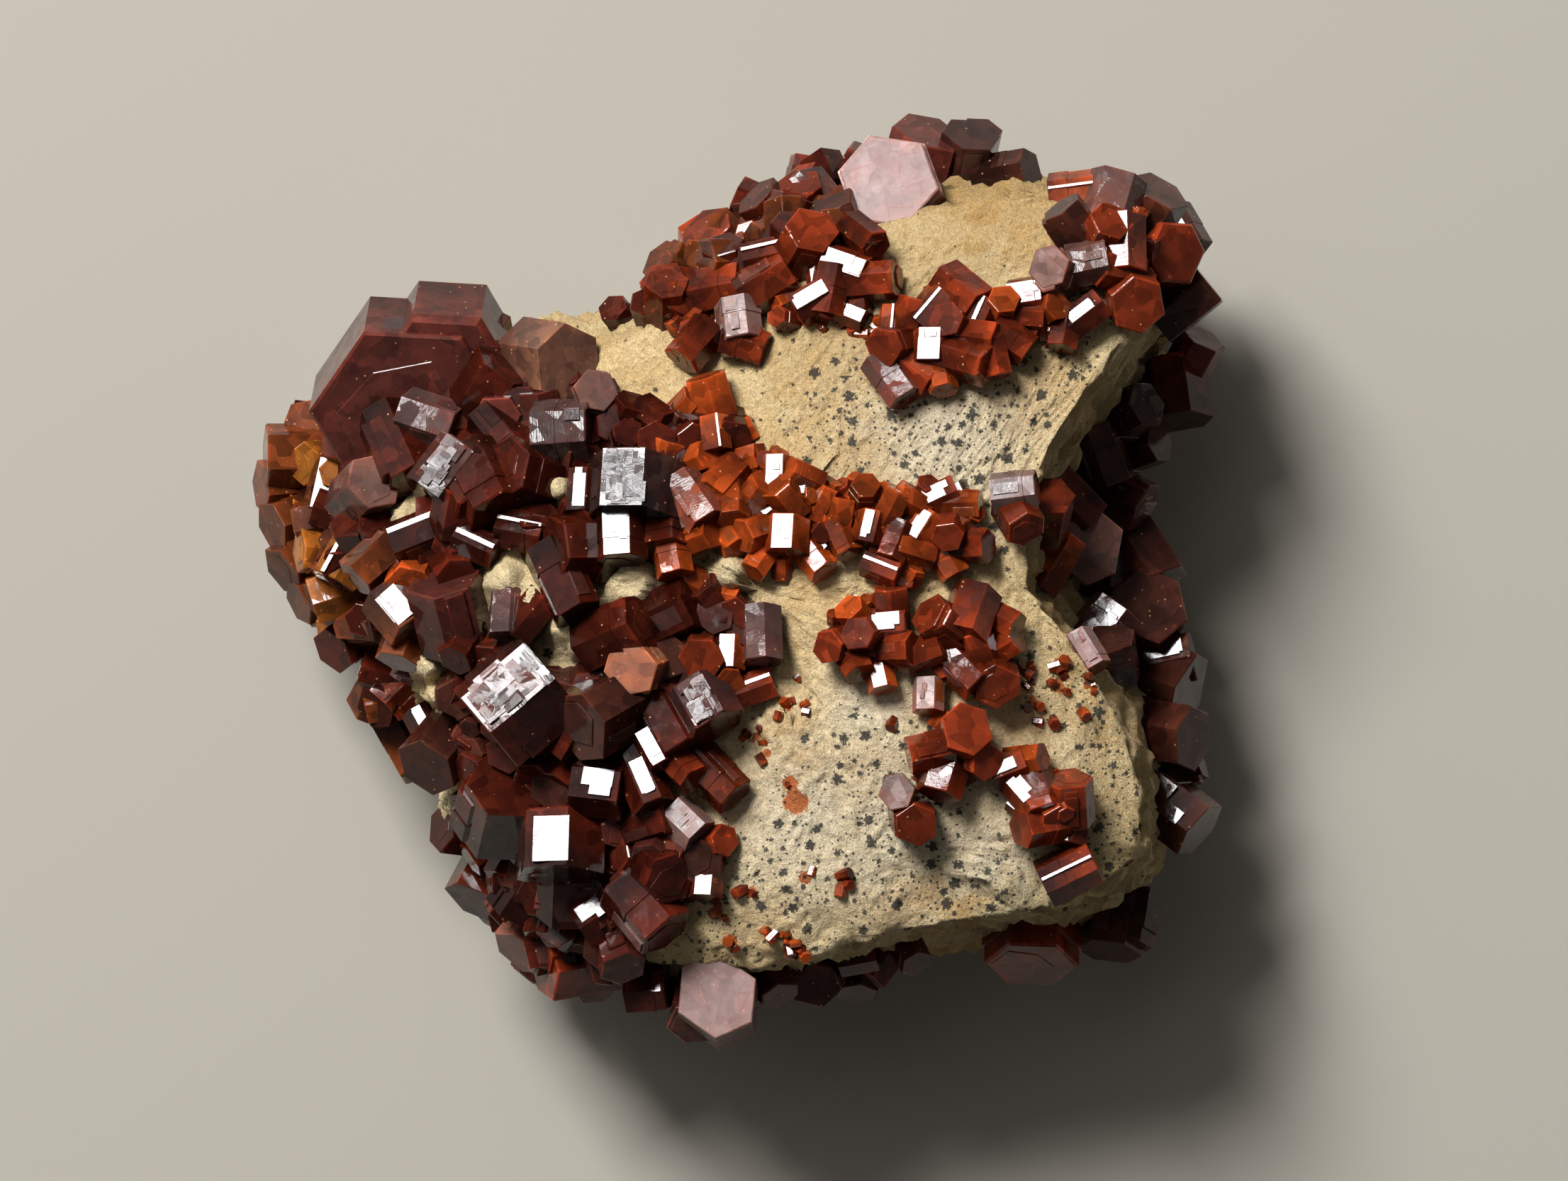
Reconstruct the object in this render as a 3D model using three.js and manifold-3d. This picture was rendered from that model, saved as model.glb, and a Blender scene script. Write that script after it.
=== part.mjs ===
// Vanadinite on matrix: hexagonal vanadinite crystals grown on a plate of pale dolomitic limestone.
// Millimetres. The plate lies on its broken back, its crystal-covered front faces up (+Z),
// +X runs to the right across the front and +Y runs up it. The origin is on the flat resting face.

import * as THREE from "three";
import Module from "manifold-3d";

const wasm = await Module();
wasm.setup();

// Driving dimensions of the matrix
const MATRIX_CENTRE = [1, -1];
const SPOKES = 42;
const FRONT_RINGS = 8;
const FRONT_ROUGHNESS = 0.5;
const WALL_ROUGHNESS = 1.1;
const CLIFF_ROUGHNESS = 1.5;
const INNERMOST_RING = 2;
const RESTING_FACE_SHARE = 0.66;
const LOWER_WALL_SHARE = 0.88;
const LOWER_WALL_HEIGHT = 3.6;

// Driving dimensions of the crystals
const GAP_TO_MATRIX = 0.3;
const EXPOSED_SHARE = 0.5;
const BEVELLED_FROM_ACROSS = 4.4;
const BEVEL_SHARE = 0.07;
const LIT_NORMAL = new THREE.Vector3(-0.19, 0.29, 0.94).normalize();
const FINEST_DETAIL = 0.02;

// Edge of the front of the matrix, right side first and counter-clockwise: x, y, z
const FRONT_EDGE = [
  [20.0, -1.2, 30.2], [19.9, 3.0, 30.4], [20.2, 7.9, 30.0], [22.5, 11.0, 29.4],
  [24.0, 13.5, 29.0], [26.5, 16.5, 28.3], [29.2, 19.3, 27.0], [30.0, 22.5, 25.4],
  [26.0, 25.5, 24.6], [20.0, 27.6, 23.6], [16.0, 26.8, 24.0], [14.0, 26.0, 24.4],
  [10.0, 25.5, 24.0], [6.0, 24.5, 24.2], [2.0, 22.5, 24.2], [-3.0, 18.8, 24.4],
  [-7.0, 17.2, 24.4], [-10.5, 16.5, 23.8], [-14.0, 14.5, 23.2], [-19.0, 12.5, 21.8],
  [-22.0, 8.5, 22.6], [-26.0, 5.0, 22.2], [-27.0, 1.0, 21.8], [-24.5, -3.0, 22.8],
  [-23.0, -6.0, 24.0], [-22.2, -9.5, 24.2], [-20.5, -13.0, 22.8], [-18.5, -16.5, 21.4],
  [-16.5, -21.0, 20.2], [-13.0, -25.0, 20.0], [-8.0, -27.7, 23.0], [-5.0, -28.0, 25.2],
  [0.0, -27.3, 27.0], [3.5, -27.6, 27.4], [6.0, -26.5, 28.0], [12.0, -25.5, 28.2],
  [14.5, -24.3, 28.8], [20.0, -24.1, 28.2], [24.0, -22.8, 27.6], [27.7, -22.0, 26.4],
  [29.2, -18.6, 26.0], [28.0, -15.0, 26.6], [28.0, -12.8, 27.2], [26.9, -9.8, 28.0],
  [25.6, -8.0, 28.6], [23.9, -5.9, 29.3], [22.2, -3.8, 29.8], [20.6, -2.4, 30.0],
];

// Foot of the broken cliff below the front edge
const CLIFF_FOOT = [
  [23.0, -1.0, 17.0], [23.2, 6.0, 17.0], [25.4, 10.5, 18.0], [28.0, 13.0, 18.5],
  [30.2, 16.5, 18.5], [31.2, 20.5, 18.0], [31.0, 24.0, 17.0], [27.0, 26.8, 16.5],
  [20.5, 28.6, 16.5], [15.0, 28.4, 16.8], [10.0, 28.0, 16.5], [4.0, 26.4, 16.5],
  [-1.5, 22.6, 17.0], [-5.0, 19.8, 17.5], [-10.0, 18.0, 17.5], [-16.0, 16.8, 16.6],
  [-23.0, 15.6, 15.0], [-28.0, 11.5, 15.0], [-29.5, 7.0, 15.4], [-29.2, 2.0, 15.4],
  [-26.4, -3.0, 16.0], [-24.4, -7.0, 16.5], [-23.2, -11.0, 16.5], [-21.0, -15.5, 15.5],
  [-18.6, -20.0, 14.4], [-16.0, -25.0, 13.6], [-11.0, -28.5, 13.5], [-4.0, -29.4, 14.6],
  [3.0, -28.8, 15.4], [9.0, -27.2, 16.4], [15.0, -25.8, 17.0], [21.0, -25.4, 16.6],
  [27.0, -24.0, 15.6], [30.2, -20.5, 15.2], [30.2, -16.0, 15.4], [29.4, -11.0, 16.0],
  [28.0, -6.5, 16.4], [25.2, -3.4, 17.0],
];

// Widest outline of the matrix, near the back
const WIDEST_RIM = [
  [25.6, -1.0, 10.0], [26.2, 5.0, 10.0], [28.0, 10.0, 10.2], [30.4, 14.0, 10.4],
  [31.8, 20.0, 10.4], [31.4, 25.0, 9.6], [27.0, 27.8, 9.6], [20.0, 29.6, 9.6],
  [13.0, 30.0, 9.4], [5.0, 27.8, 9.6], [-1.5, 24.0, 10.0], [-7.0, 20.3, 10.2],
  [-15.0, 18.4, 9.6], [-24.0, 16.8, 9.0], [-29.6, 12.0, 9.0], [-31.0, 6.0, 9.2],
  [-30.2, 0.5, 9.6], [-26.6, -5.0, 10.0], [-24.8, -10.0, 10.0], [-21.9, -16.0, 9.6],
  [-19.4, -21.0, 9.0], [-16.4, -26.3, 8.6], [-10.0, -29.6, 8.6], [-2.0, -30.2, 9.2],
  [6.0, -29.2, 9.8], [14.0, -27.4, 10.2], [22.0, -26.8, 10.0], [28.4, -24.8, 9.4],
  [31.2, -20.0, 9.6], [31.4, -14.0, 10.0], [30.4, -8.0, 10.2], [28.0, -4.0, 10.2],
];

// Heights read across the front: plates, ridge, hollows and the sunken left side
const FRONT_HEIGHTS = [
  [0, -5, 31.0], [8, -5, 32.0], [15, -6, 31.9], [18.5, -2, 31.2], [21, -8, 31.0],
  [24.5, -12, 29.4], [26.5, -17, 27.6], [20, -15, 31.2], [12, -12, 32.2], [4, -12, 32.2],
  [2, -20, 31.4], [10, -20, 31.6], [18, -20, 30.6], [24, -20, 28.8], [6, -24, 30.2],
  [-2, -24, 29.6], [-7, -20, 28.0], [4, 10, 30.0], [12, 8.5, 30.6], [18, 10, 30.3],
  [11, 13, 29.8], [18, 14, 29.6], [22, 15.5, 29.0], [22, 20, 27.8], [15, 22, 27.4],
  [8, 20, 27.9], [4, 16, 28.7], [3, 4, 31.4], [10, 3, 31.9], [16, 3.5, 31.4],
  [6, 1, 30.9], [-3, 3, 30.0], [-4, 10, 28.0], [-8, 14, 25.9], [-13, 6, 28.4],
  [-9, 0.5, 30.0], [-16, 0, 29.2], [-13, -4, 29.6], [-20, 4, 26.6], [-16, 11, 24.8],
  [-23, 4, 25.4], [-21, -6, 27.2], [-17, -10, 26.8], [-9, -9, 29.4], [-4, -14, 30.0],
  [-12, -16, 26.2], [-12, -22, 24.0], [-7, -25, 26.4],
];

// Crystal rows. "lit" crystals turn one prism face to the light from the upper left:
// face x, face y, width across flats, length, heading of the long axis, extra height.
// "leaning" crystals: centre x, centre y, width across flats, length, lean of the long axis
// from +Z, heading of its upper end, turn about it, extra height. Degrees, 0 = +X, 90 = +Y.
const CRYSTALS = {
  central_left_druse: {
    lit: [
      [-8.5, 7.0, 6.2, 4.3, 90, 1.4],
      [-9.1, 3.1, 3.7, 3.4, -85, 1.6],
      [-4.0, 5.6, 3.2, 4.0, -55, 1.2],
      [-16.7, -7.8, 7.3, 6.0, 221, 2.0],
      [-10.5, -14.4, 4.0, 3.6, -10, 1.8],
      [-13.5, -18.3, 5.8, 4.4, 92, 2.4],
      [-10.6, -23.6, 3.4, 3.4, 35, 1.6],
    ],
    leaning: [
      [-11.3, 2, 4.6, 5, 61, -179, 15, 0.4],
      [-5.8, 3.6, 3.6, 4.4, 60, -85, 12, 0.4],
      [-12.7, -0.4, 3.6, 5.6, 68, -65, 17, 1],
      [-9.2, -4, 4.1, 4.8, 62, 24, 22, 0.8],
      [-7.3, -6.4, 3.7, 4.2, 20, 200, 22, 1.0],
      [-5.1, -2.8, 3.7, 4, 67, 25, 7, 0.6],
      [-9.8, -9.6, 5.2, 5.2, 52, -150, 14, 0.8],
      [-13, -10.6, 3.6, 4.4, 69, -40, 24, 0.8],
      [-17.0, -16.2, 5.6, 6.0, 34, 75, 16, 0.6],
      [-12.8, -22.2, 3.6, 4.6, 61, 87, 6, 1],
      [-6.9, -23.5, 4.3, 4.8, 70, -50, 5, 1.0],
      [-6.2, -20.6, 3.6, 4.6, 32, -35, 17, 0.6],
      [-8.9, -26.2, 3.2, 4.6, 48, -76, 14, 0.8],
    ],
  },
  upper_left_druse: {
    lit: [
      [-22.6, 11.6, 3.2, 4.2, -22, 2.6],
      [-29.9, 6.6, 3.6, 3.8, -98, 2.2],
      [-28.6, 2.3, 3.4, 5.2, 245, 2.0],
      [-21.3, 7.9, 4.0, 4.2, 55, 2.4],
      [-13.2, 10.9, 4.4, 4.0, 0, 1.2],
    ],
    leaning: [
      [-23.6, 12.9, 12.4, 6, 27, -96, 3, 0.8],
      [-24.7, 9.2, 3.5, 6.0, 62, -65, 12, 3.0],
      [-28.4, 11.6, 4.2, 4.6, 46, 190, 0, 0.4],
      [-31.3, 8.6, 4.2, 6.6, 82, 180, 8, 2.0],
      [-27.1, 6.0, 3.8, 5.0, 28, 40, 5, 2.2],
      [-32.0, 4.2, 3.9, 5.0, 62, 200, 20, 1.0],
      [-18.4, 6.5, 4.2, 5.4, 58, -62, 6, 1.0],
      [-14.0, 15.2, 5.2, 5.0, 38, -10, 18, 1.2],
      [-18.3, 16.0, 3.8, 5.0, 58, 100, 5, 0.6],
      [-18.2, 13, 4.4, 5.2, 67, 55, 2, 0.2],
      [-15.4, 7, 4.6, 5, 44, 160, 10, 0.2],
    ],
  },
  right_flank_druse: {
    lit: [
      [26.6, 6.4, 3.6, 4.4, -30, 1.8],
      [29.9, -5.5, 3.8, 4.2, 10, 2.6],
      [30.4, -16.2, 4.6, 5.0, -40, 2.4],
    ],
    leaning: [
      [26.4, 4.6, 4.2, 5, 74, 53, 5, 1],
      [28.6, 1.3, 4.2, 5.2, 66, -58, 30, 1],
      [26.4, -1, 4.2, 5, 43, 30, 17, 0.8],
      [28.4, -2.9, 5.2, 5.2, 24, 60, 10, 2.0],
      [29.6, -7.6, 5.4, 5.4, 67, -21, 27, 1.4],
      [30, -11.2, 4.6, 5.4, 55, -10, 22, 1.2],
      [31, -14, 2.8, 4, 77, 23, 13, 1],
    ],
  },
  upper_right_barrels: {
    lit: [
      [25.7, 26.6, 3.6, 5.0, -103, 2.0],
    ],
    leaning: [
      [28.4, 25.4, 4.2, 5.2, 65, 58, 8, 1.2],
      [29.4, 22.8, 4.6, 4.8, 35, 10, 20, 0.8],
      [26.7, 23.3, 3.2, 4.2, 72, -89, 16, 1],
      [27.5, 19.8, 4.0, 4.0, 22, -60, 12, 0.8],
    ],
  },
  left_edge_barrels: {
    lit: [
      [-24.7, -1.9, 3.9, 3.6, -50, 1.6],
    ],
    leaning: [
      [-26, 1.2, 3.2, 4.6, 73, -138, 4, 1.2],
      [-23.2, 0.4, 3.2, 4.4, 36, 250, 9, 0.4],
      [-20.6, -2.6, 5, 5.4, 64, 104, 8, 0.8],
      [-24, -4.2, 3.2, 4.4, 71, -108, 20, 0.2],
    ],
  },
  crown_pink_hexagon_group: {
    lit: [],
    leaning: [
      [1.6, 20.6, 3.2, 4, 86, 32, 3, 0.8],
      [4.2, 23.4, 3.6, 4.2, 37, 60, 24, 1],
      [6.3, 25.2, 3.4, 4.2, 76, 20, 3, 1.4],
      [10.4, 27.7, 6.5, 3.2, 13, 120, 20, 4.0],
    ],
  },
  top_edge_barrels: {
    lit: [],
    leaning: [
      [12.6, 29.6, 5, 5.4, 63, 74, 14, 1.6],
      [8.2, 28.2, 4, 5, 69, 61, 28, 0.6],
      [15.8, 29.6, 3.8, 5.2, 55, 78, 17, 1.8],
    ],
  },
  upper_plate_cluster: {
    lit: [
      [13.2, 19.0, 2.8, 3.0, 52, 0.4],
      [13.0, 16.4, 2.6, 2.4, 90, 0.9],
      [10.1, 14.2, 2.5, 3.8, -55, 0.3],
    ],
    leaning: [
      [15.4, 20.0, 2.9, 3.8, 62, -40, 14, 0.5],
      [14.8, 17.7, 2.5, 3.2, 28, 150, 8, 0.7],
      [16.4, 16.8, 2.4, 3.2, 67, -8, 30, 0.8],
      [12, 14.5, 2.5, 3.2, 78, -35, 27, 0.2],
      [10.6, 16.2, 2.8, 3.4, 28, 190, 13, 0.4],
      [15.6, 15.2, 3, 3.6, 64, -17, 9, 0.5],
    ],
  },
  bottom_red_tablets: {
    lit: [],
    leaning: [
      [20.5, -26.6, 6.4, 3.4, 58, -92, 0, 1.6],
      [26.6, -25, 4.8, 4.6, 70, -100, 10, 1],
    ],
  },
  lower_left_bowl_crystals: {
    lit: [],
    leaning: [
      [-14.8, -25.4, 4.0, 5.0, 62, -130, 0, 1.2],
      [-12, -27.3, 5.4, 5.4, 69, -171, 14, 0.4],
    ],
  },
  lower_plate_south_cluster: {
    lit: [],
    leaning: [
      [15.3, -11.2, 3.4, 3.6, 18, 60, 12, 0.4],
      [13.1, -12.4, 2.7, 3.2, 83, -168, 9, 0.3],
      [14, -14.1, 3, 3, 72, -107, 13, 0.3],
      [16.3, -12.8, 2.4, 3, 35, -20, 17, 0.3],
      [11.0, -15.4, 2.4, 3.0, 16, 140, 20, 0.5],
      [11.9, -17.0, 3.0, 3.2, 20, -60, 5, 0.3],
    ],
  },
  lower_plate_east_cluster: {
    lit: [],
    leaning: [
      [13.9, -3.4, 3.1, 3, 59, 143, 19, 0.3],
      [15.9, -2.8, 3.3, 3.8, 62, -110, 17, 0.4],
      [15.4, -6.6, 2.6, 3.8, 66, -45, 2, 0.3],
      [17.7, -7.2, 3.0, 3.4, 20, -80, 22, 0.3],
      [16.4, -5, 2.4, 3.2, 65, 112, 1, 0.3],
    ],
  },
  right_hollow_pink_brown_crystals: {
    lit: [],
    leaning: [
      [24.0, 2.3, 4.8, 5.0, 20, -30, 21, 1.6],
      [23, 5.6, 3.4, 4.4, 74, 134, 24, 0.8],
    ],
  },
  bottom_pink_hexagon_group: {
    lit: [
      [-7.2, -28.9, 3.2, 3.0, 0, 9.4],
    ],
    leaning: [
      [-1.9, -30.3, 5.6, 6.6, 10, 100, 15, 11.3],
      [-3.4, -30.4, 3.6, 4.4, 46, -100, 20, 10.5],
      [-4.4, -28.9, 2.6, 3.8, 79, -162, 10, 2.4],
      [1.7, -28.6, 2.8, 4.0, 55, -60, 12, 1.4],
    ],
  },
  right_shoulder_crystals: {
    lit: [
      [30.7, 13.9, 4.2, 4.6, 100, 2.0],
    ],
    leaning: [
      [32, 15.4, 3.2, 4.6, 65, 62, 13, 1.4],
    ],
  },
  far_left_barrels: {
    lit: [],
    leaning: [
      [-28.2, -0.8, 4.4, 5.2, 60, 218, 16, 0.6],
      [-27.0, -3.7, 3.4, 4.2, 74, 198, 12, 0.6],
    ],
  },
  lower_left_hexagons: {
    lit: [],
    leaning: [
      [-19.8, -18.3, 3.2, 4.6, 58, 172, 8, 0.4],
      [-18.2, -21.5, 4.4, 5.2, 65, -118, 14, 0.4],
    ],
  },
  upper_right_brown_crystal: {
    lit: [],
    leaning: [
      [31, 19.9, 4.2, 4.8, 86, 39, 26, 1.6],
    ],
  },
  lower_right_chain: {
    lit: [],
    leaning: [
      [20.6, -15.4, 2.8, 3.2, 64, -72, 1, 0.4],
      [22.9, -15.8, 3.1, 3.4, 65, 94, 6, 0.4],
      [20.9, -17.6, 2.8, 3.4, 60, -170, 12, 0.3],
      [21.6, -16.4, 2.4, 3, 43, -60, 0, 0.4],
    ],
  },
  right_hollow_barrels: {
    lit: [],
    leaning: [
      [27.4, 11.6, 3.2, 4.4, 44, 30, 5, 0.8],
      [25.6, 8.7, 3.4, 4.4, 86, 110, 18, 1.2],
    ],
  },
  hopper_crystal: {
    lit: [
      [-3.1, -8.6, 4.2, 3.6, -60, 1.2],
    ],
    leaning: [],
  },
  left_frosty_barrel: {
    lit: [],
    leaning: [
      [-21.5, -12.2, 4.2, 5.0, 48, 230, 11, 1.2],
    ],
  },
  lower_plate_west_cluster: {
    lit: [
      [9.9, -3.2, 2.4, 2.8, 2, 0.4],
    ],
    leaning: [
      [10.4, -2.2, 2.4, 3, 76, 93, 30, 0.3],
      [8.4, -4.3, 2.4, 3, 23, 150, 4, 0.4],
      [10.6, -5.1, 2.4, 3, 60, 0, 6, 0.3],
    ],
  },
  upper_edge_barrel: {
    lit: [],
    leaning: [
      [-1.6, 23.4, 3.9, 4.8, 55, 130, 10, 1.4],
    ],
  },
  top_lit_barrel: {
    lit: [
      [4.4, 27.4, 3.8, 3.4, -52, 2.8],
    ],
    leaning: [],
  },
  left_lower_barrel: {
    lit: [],
    leaning: [
      [-24.2, -12.0, 3.5, 4.8, 70, -60, 28, 0.4],
    ],
  },
  upper_edge_small_barrel: {
    lit: [],
    leaning: [
      [-4.1, 20.4, 3.6, 4.4, 79, 170, 25, 1],
    ],
  },
  lower_right_amber_crystal: {
    lit: [
      [22.6, -20.4, 3.1, 4.0, 25, 0.4],
    ],
    leaning: [],
  },
  bottom_edge_hexagon: {
    lit: [],
    leaning: [
      [5.3, -28.4, 3.7, 4.0, 30, -110, 8, 1.0],
    ],
  },
  right_flank_lit_tablet: {
    lit: [
      [25.3, -3.1, 3.8, 3.6, 55, 1.8],
    ],
    leaning: [],
  },
  right_ledge_crystal: {
    lit: [],
    leaning: [
      [21.4, 4.4, 3.2, 4.2, 40, 80, 12, 0.4],
    ],
  },
  left_red_square_crystal: {
    lit: [],
    leaning: [
      [-24.8, -8.0, 3.3, 3.8, 80, 226, 24, 0.6],
    ],
  },
  upper_plate_lit_tablet: {
    lit: [
      [19.7, 20.1, 2.6, 2.4, 6, 0.6],
    ],
    leaning: [],
  },
  ridge_west_cluster: {
    lit: [
      [2.7, 3.2, 2.9, 2.6, 90, 0.7],
    ],
    leaning: [
      [1, 3.2, 2.3, 3, 55, 200, 11, 0.2],
      [4.9, 1.2, 2.1, 2.6, 66, -52, 1, 0.2],
    ],
  },
  ridge_east_cluster: {
    lit: [
      [13.6, 5.9, 2.2, 2.6, 24, 0.4],
      [12.4, 3.7, 2.0, 2.4, 60, 0.4],
    ],
    leaning: [
      [15.3, 5, 2.1, 2.8, 77, 2, 24, 0.2],
      [14.4, 3.2, 2.2, 2.8, 25, -100, 20, 0.3],
      [16.0, 2.1, 2.2, 2.8, 60, 0, 6, 0.2],
    ],
  },
  ridge_middle_cluster: {
    lit: [
      [8.6, 3.6, 1.9, 2.4, 80, 0.3],
    ],
    leaning: [
      [8.4, 5.6, 2.1, 2.8, 34, 80, 12, 0.2],
      [10.4, 4.8, 2, 2.6, 81, 63, 29, 0.2],
      [6.9, 4.2, 2.1, 2.6, 83, 80, 6, 0.2],
    ],
  },
  lower_plate_upright_crystal: {
    lit: [
      [12.8, -8.2, 2.0, 2.4, -88, 0.3],
    ],
    leaning: [],
  },
};

const MATRIX_MATERIAL = { color: 0xd9c79a, roughness: 0.92, metalness: 0.0 };
const CRYSTAL_MATERIAL = { color: 0x6e2417, roughness: 0.22, metalness: 0.0 };

function repeatable(seed) {
  let state = seed;
  return () => {
    state = (state * 1664525 + 1013904223) % 4294967296;
    return state / 4294967296;
  };
}

// Where the spoke at an angle crosses a loop of corners: distance from the centre, and height
function crossing(loop, angle) {
  const [cx, cy] = MATRIX_CENTRE;
  const dx = Math.cos(angle);
  const dy = Math.sin(angle);
  for (let i = 0; i < loop.length; i += 1) {
    const a = loop[i];
    const b = loop[(i + 1) % loop.length];
    const acrossA = dx * (a[1] - cy) - dy * (a[0] - cx);
    const acrossB = dx * (b[1] - cy) - dy * (b[0] - cx);
    if (acrossA > 0 || acrossB <= 0) {
      continue;
    }
    const share = acrossA / (acrossA - acrossB);
    const x = a[0] + (b[0] - a[0]) * share;
    const y = a[1] + (b[1] - a[1]) * share;
    const along = dx * (x - cx) + dy * (y - cy);
    if (along > 0) {
      return { radius: along, height: a[2] + (b[2] - a[2]) * share };
    }
  }
  throw new Error("no crossing at " + angle);
}

// Height of the front inside its edge, from the heights read across it
function frontHeight(x, y) {
  let sum = 0;
  let weights = 0;
  for (const [px, py, pz] of [...FRONT_HEIGHTS, ...FRONT_EDGE]) {
    const distance = Math.hypot(x - px, y - py) + 0.2;
    const weight = 1 / distance ** 3;
    sum += weight * pz;
    weights += weight;
  }
  return sum / weights;
}

// Height of the matrix under any point, from the front down the cliff to the widest rim
function groundHeight(x, y) {
  const [cx, cy] = MATRIX_CENTRE;
  const angle = Math.atan2(y - cy, x - cx);
  const radius = Math.hypot(x - cx, y - cy);
  const edge = crossing(FRONT_EDGE, angle);
  const foot = crossing(CLIFF_FOOT, angle);
  const rim = crossing(WIDEST_RIM, angle);
  if (radius <= edge.radius) {
    return frontHeight(x, y);
  }
  if (radius <= foot.radius) {
    const share = (radius - edge.radius) / (foot.radius - edge.radius);
    return THREE.MathUtils.lerp(edge.height, foot.height, share);
  }
  const share = Math.min(1, (radius - foot.radius) / (rim.radius - foot.radius));
  return THREE.MathUtils.lerp(foot.height, rim.height, share);
}

// One closed surface: rings across the front, down the cliff, under the rim and over the resting face
function matrixGeometry(swell) {
  const random = repeatable(20);
  const [cx, cy] = MATRIX_CENTRE;
  const rings = [];
  const addRing = (place) => {
    const ring = [];
    for (let s = 0; s < SPOKES; s += 1) {
      ring.push(place((s / SPOKES) * 2 * Math.PI));
    }
    rings.push(ring);
  };
  const wobble = (size) => (random() - 0.5) * 2 * size;
  const point = (angle, radius, height) => new THREE.Vector3(
    cx + Math.cos(angle) * radius,
    cy + Math.sin(angle) * radius,
    height,
  );

  for (let r = INNERMOST_RING; r < FRONT_RINGS; r += 1) {
    addRing((angle) => {
      const edge = crossing(FRONT_EDGE, angle);
      const radius = (edge.radius * (r + wobble(0.22))) / FRONT_RINGS;
      const turned = angle + wobble(0.22) * ((2 * Math.PI) / SPOKES);
      const flat = point(turned, radius, 0);
      flat.z = frontHeight(flat.x, flat.y) + wobble(FRONT_ROUGHNESS);
      return flat;
    });
  }
  addRing((angle) => {
    const edge = crossing(FRONT_EDGE, angle);
    return point(angle, edge.radius, edge.height);
  });
  for (const share of [0.3, 0.65]) {
    addRing((angle) => {
      const edge = crossing(FRONT_EDGE, angle);
      const foot = crossing(CLIFF_FOOT, angle);
      const radius = THREE.MathUtils.lerp(edge.radius, foot.radius, share) + wobble(0.4);
      const height = THREE.MathUtils.lerp(edge.height, foot.height, share);
      return point(angle, radius, height + wobble(CLIFF_ROUGHNESS));
    });
  }
  addRing((angle) => {
    const foot = crossing(CLIFF_FOOT, angle);
    return point(angle, foot.radius + wobble(0.2), foot.height + wobble(0.6));
  });
  addRing((angle) => {
    const rim = crossing(WIDEST_RIM, angle);
    return point(angle, rim.radius + wobble(0.3), rim.height + wobble(0.8));
  });
  addRing((angle) => {
    const rim = crossing(WIDEST_RIM, angle);
    return point(angle, rim.radius * 0.97 + wobble(WALL_ROUGHNESS), 6.4 + wobble(0.5));
  });
  addRing((angle) => {
    const rim = crossing(WIDEST_RIM, angle);
    const radius = rim.radius * LOWER_WALL_SHARE + wobble(WALL_ROUGHNESS);
    return point(angle, radius, LOWER_WALL_HEIGHT + wobble(0.5));
  });
  addRing((angle) => {
    const rim = crossing(WIDEST_RIM, angle);
    return point(angle, rim.radius * RESTING_FACE_SHARE + wobble(WALL_ROUGHNESS), 0);
  });

  const positions = [];
  const indices = [];
  for (const ring of rings) {
    for (const corner of ring) {
      positions.push(corner.x, corner.y, corner.z);
    }
  }
  const top = positions.length / 3;
  positions.push(cx, cy, frontHeight(cx, cy));
  const bottom = top + 1;
  positions.push(cx, cy, 0);
  for (let s = 0; s < SPOKES; s += 1) {
    const next = (s + 1) % SPOKES;
    indices.push(top, s, next);
    for (let r = 0; r + 1 < rings.length; r += 1) {
      const a = r * SPOKES + s;
      const b = r * SPOKES + next;
      const c = a + SPOKES;
      const d = b + SPOKES;
      if ((r + s) % 2 === 0) {
        indices.push(a, c, d, a, d, b);
      } else {
        indices.push(a, c, b, b, c, d);
      }
    }
    const last = (rings.length - 1) * SPOKES;
    indices.push(bottom, last + next, last + s);
  }
  const geometry = new THREE.BufferGeometry();
  geometry.setAttribute("position", new THREE.Float32BufferAttribute(positions, 3));
  geometry.setIndex(indices);
  if (swell > 0) {
    geometry.computeVertexNormals();
    const place = geometry.attributes.position;
    const normal = geometry.attributes.normal;
    for (let i = 0; i < place.count; i += 1) {
      place.setXYZ(
        i,
        place.getX(i) + normal.getX(i) * swell,
        place.getY(i) + normal.getY(i) * swell,
        place.getZ(i) + normal.getZ(i) * swell,
      );
    }
  }
  return geometry;
}

// A hexagonal prism along +Z, flat faces at 0, 60, 120... degrees, bevelled at its upper end if large
function prismGeometry(across, length) {
  const radius = across / Math.sqrt(3);
  const profile = [new THREE.Vector2(0, -length / 2), new THREE.Vector2(radius, -length / 2)];
  if (across >= BEVELLED_FROM_ACROSS) {
    const bevel = across * BEVEL_SHARE;
    profile.push(new THREE.Vector2(radius, length / 2 - bevel * 0.8));
    profile.push(new THREE.Vector2(radius - bevel, length / 2));
  } else {
    profile.push(new THREE.Vector2(radius, length / 2));
  }
  profile.push(new THREE.Vector2(0, length / 2));
  const geometry = new THREE.LatheGeometry(profile, 6);
  geometry.rotateX(Math.PI / 2);
  return geometry;
}

// Crystal axes: c along its length, face toward one prism face
function axesMatrix(c, face, centre) {
  const side = new THREE.Vector3().crossVectors(c, face);
  return new THREE.Matrix4().makeBasis(face, side, c).setPosition(centre);
}

function heightAbove(c, across, length) {
  const upright = Math.abs(c.z);
  const flat = Math.sqrt(Math.max(0, 1 - upright * upright));
  return (length / 2) * upright + (across / 2) * flat;
}

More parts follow.
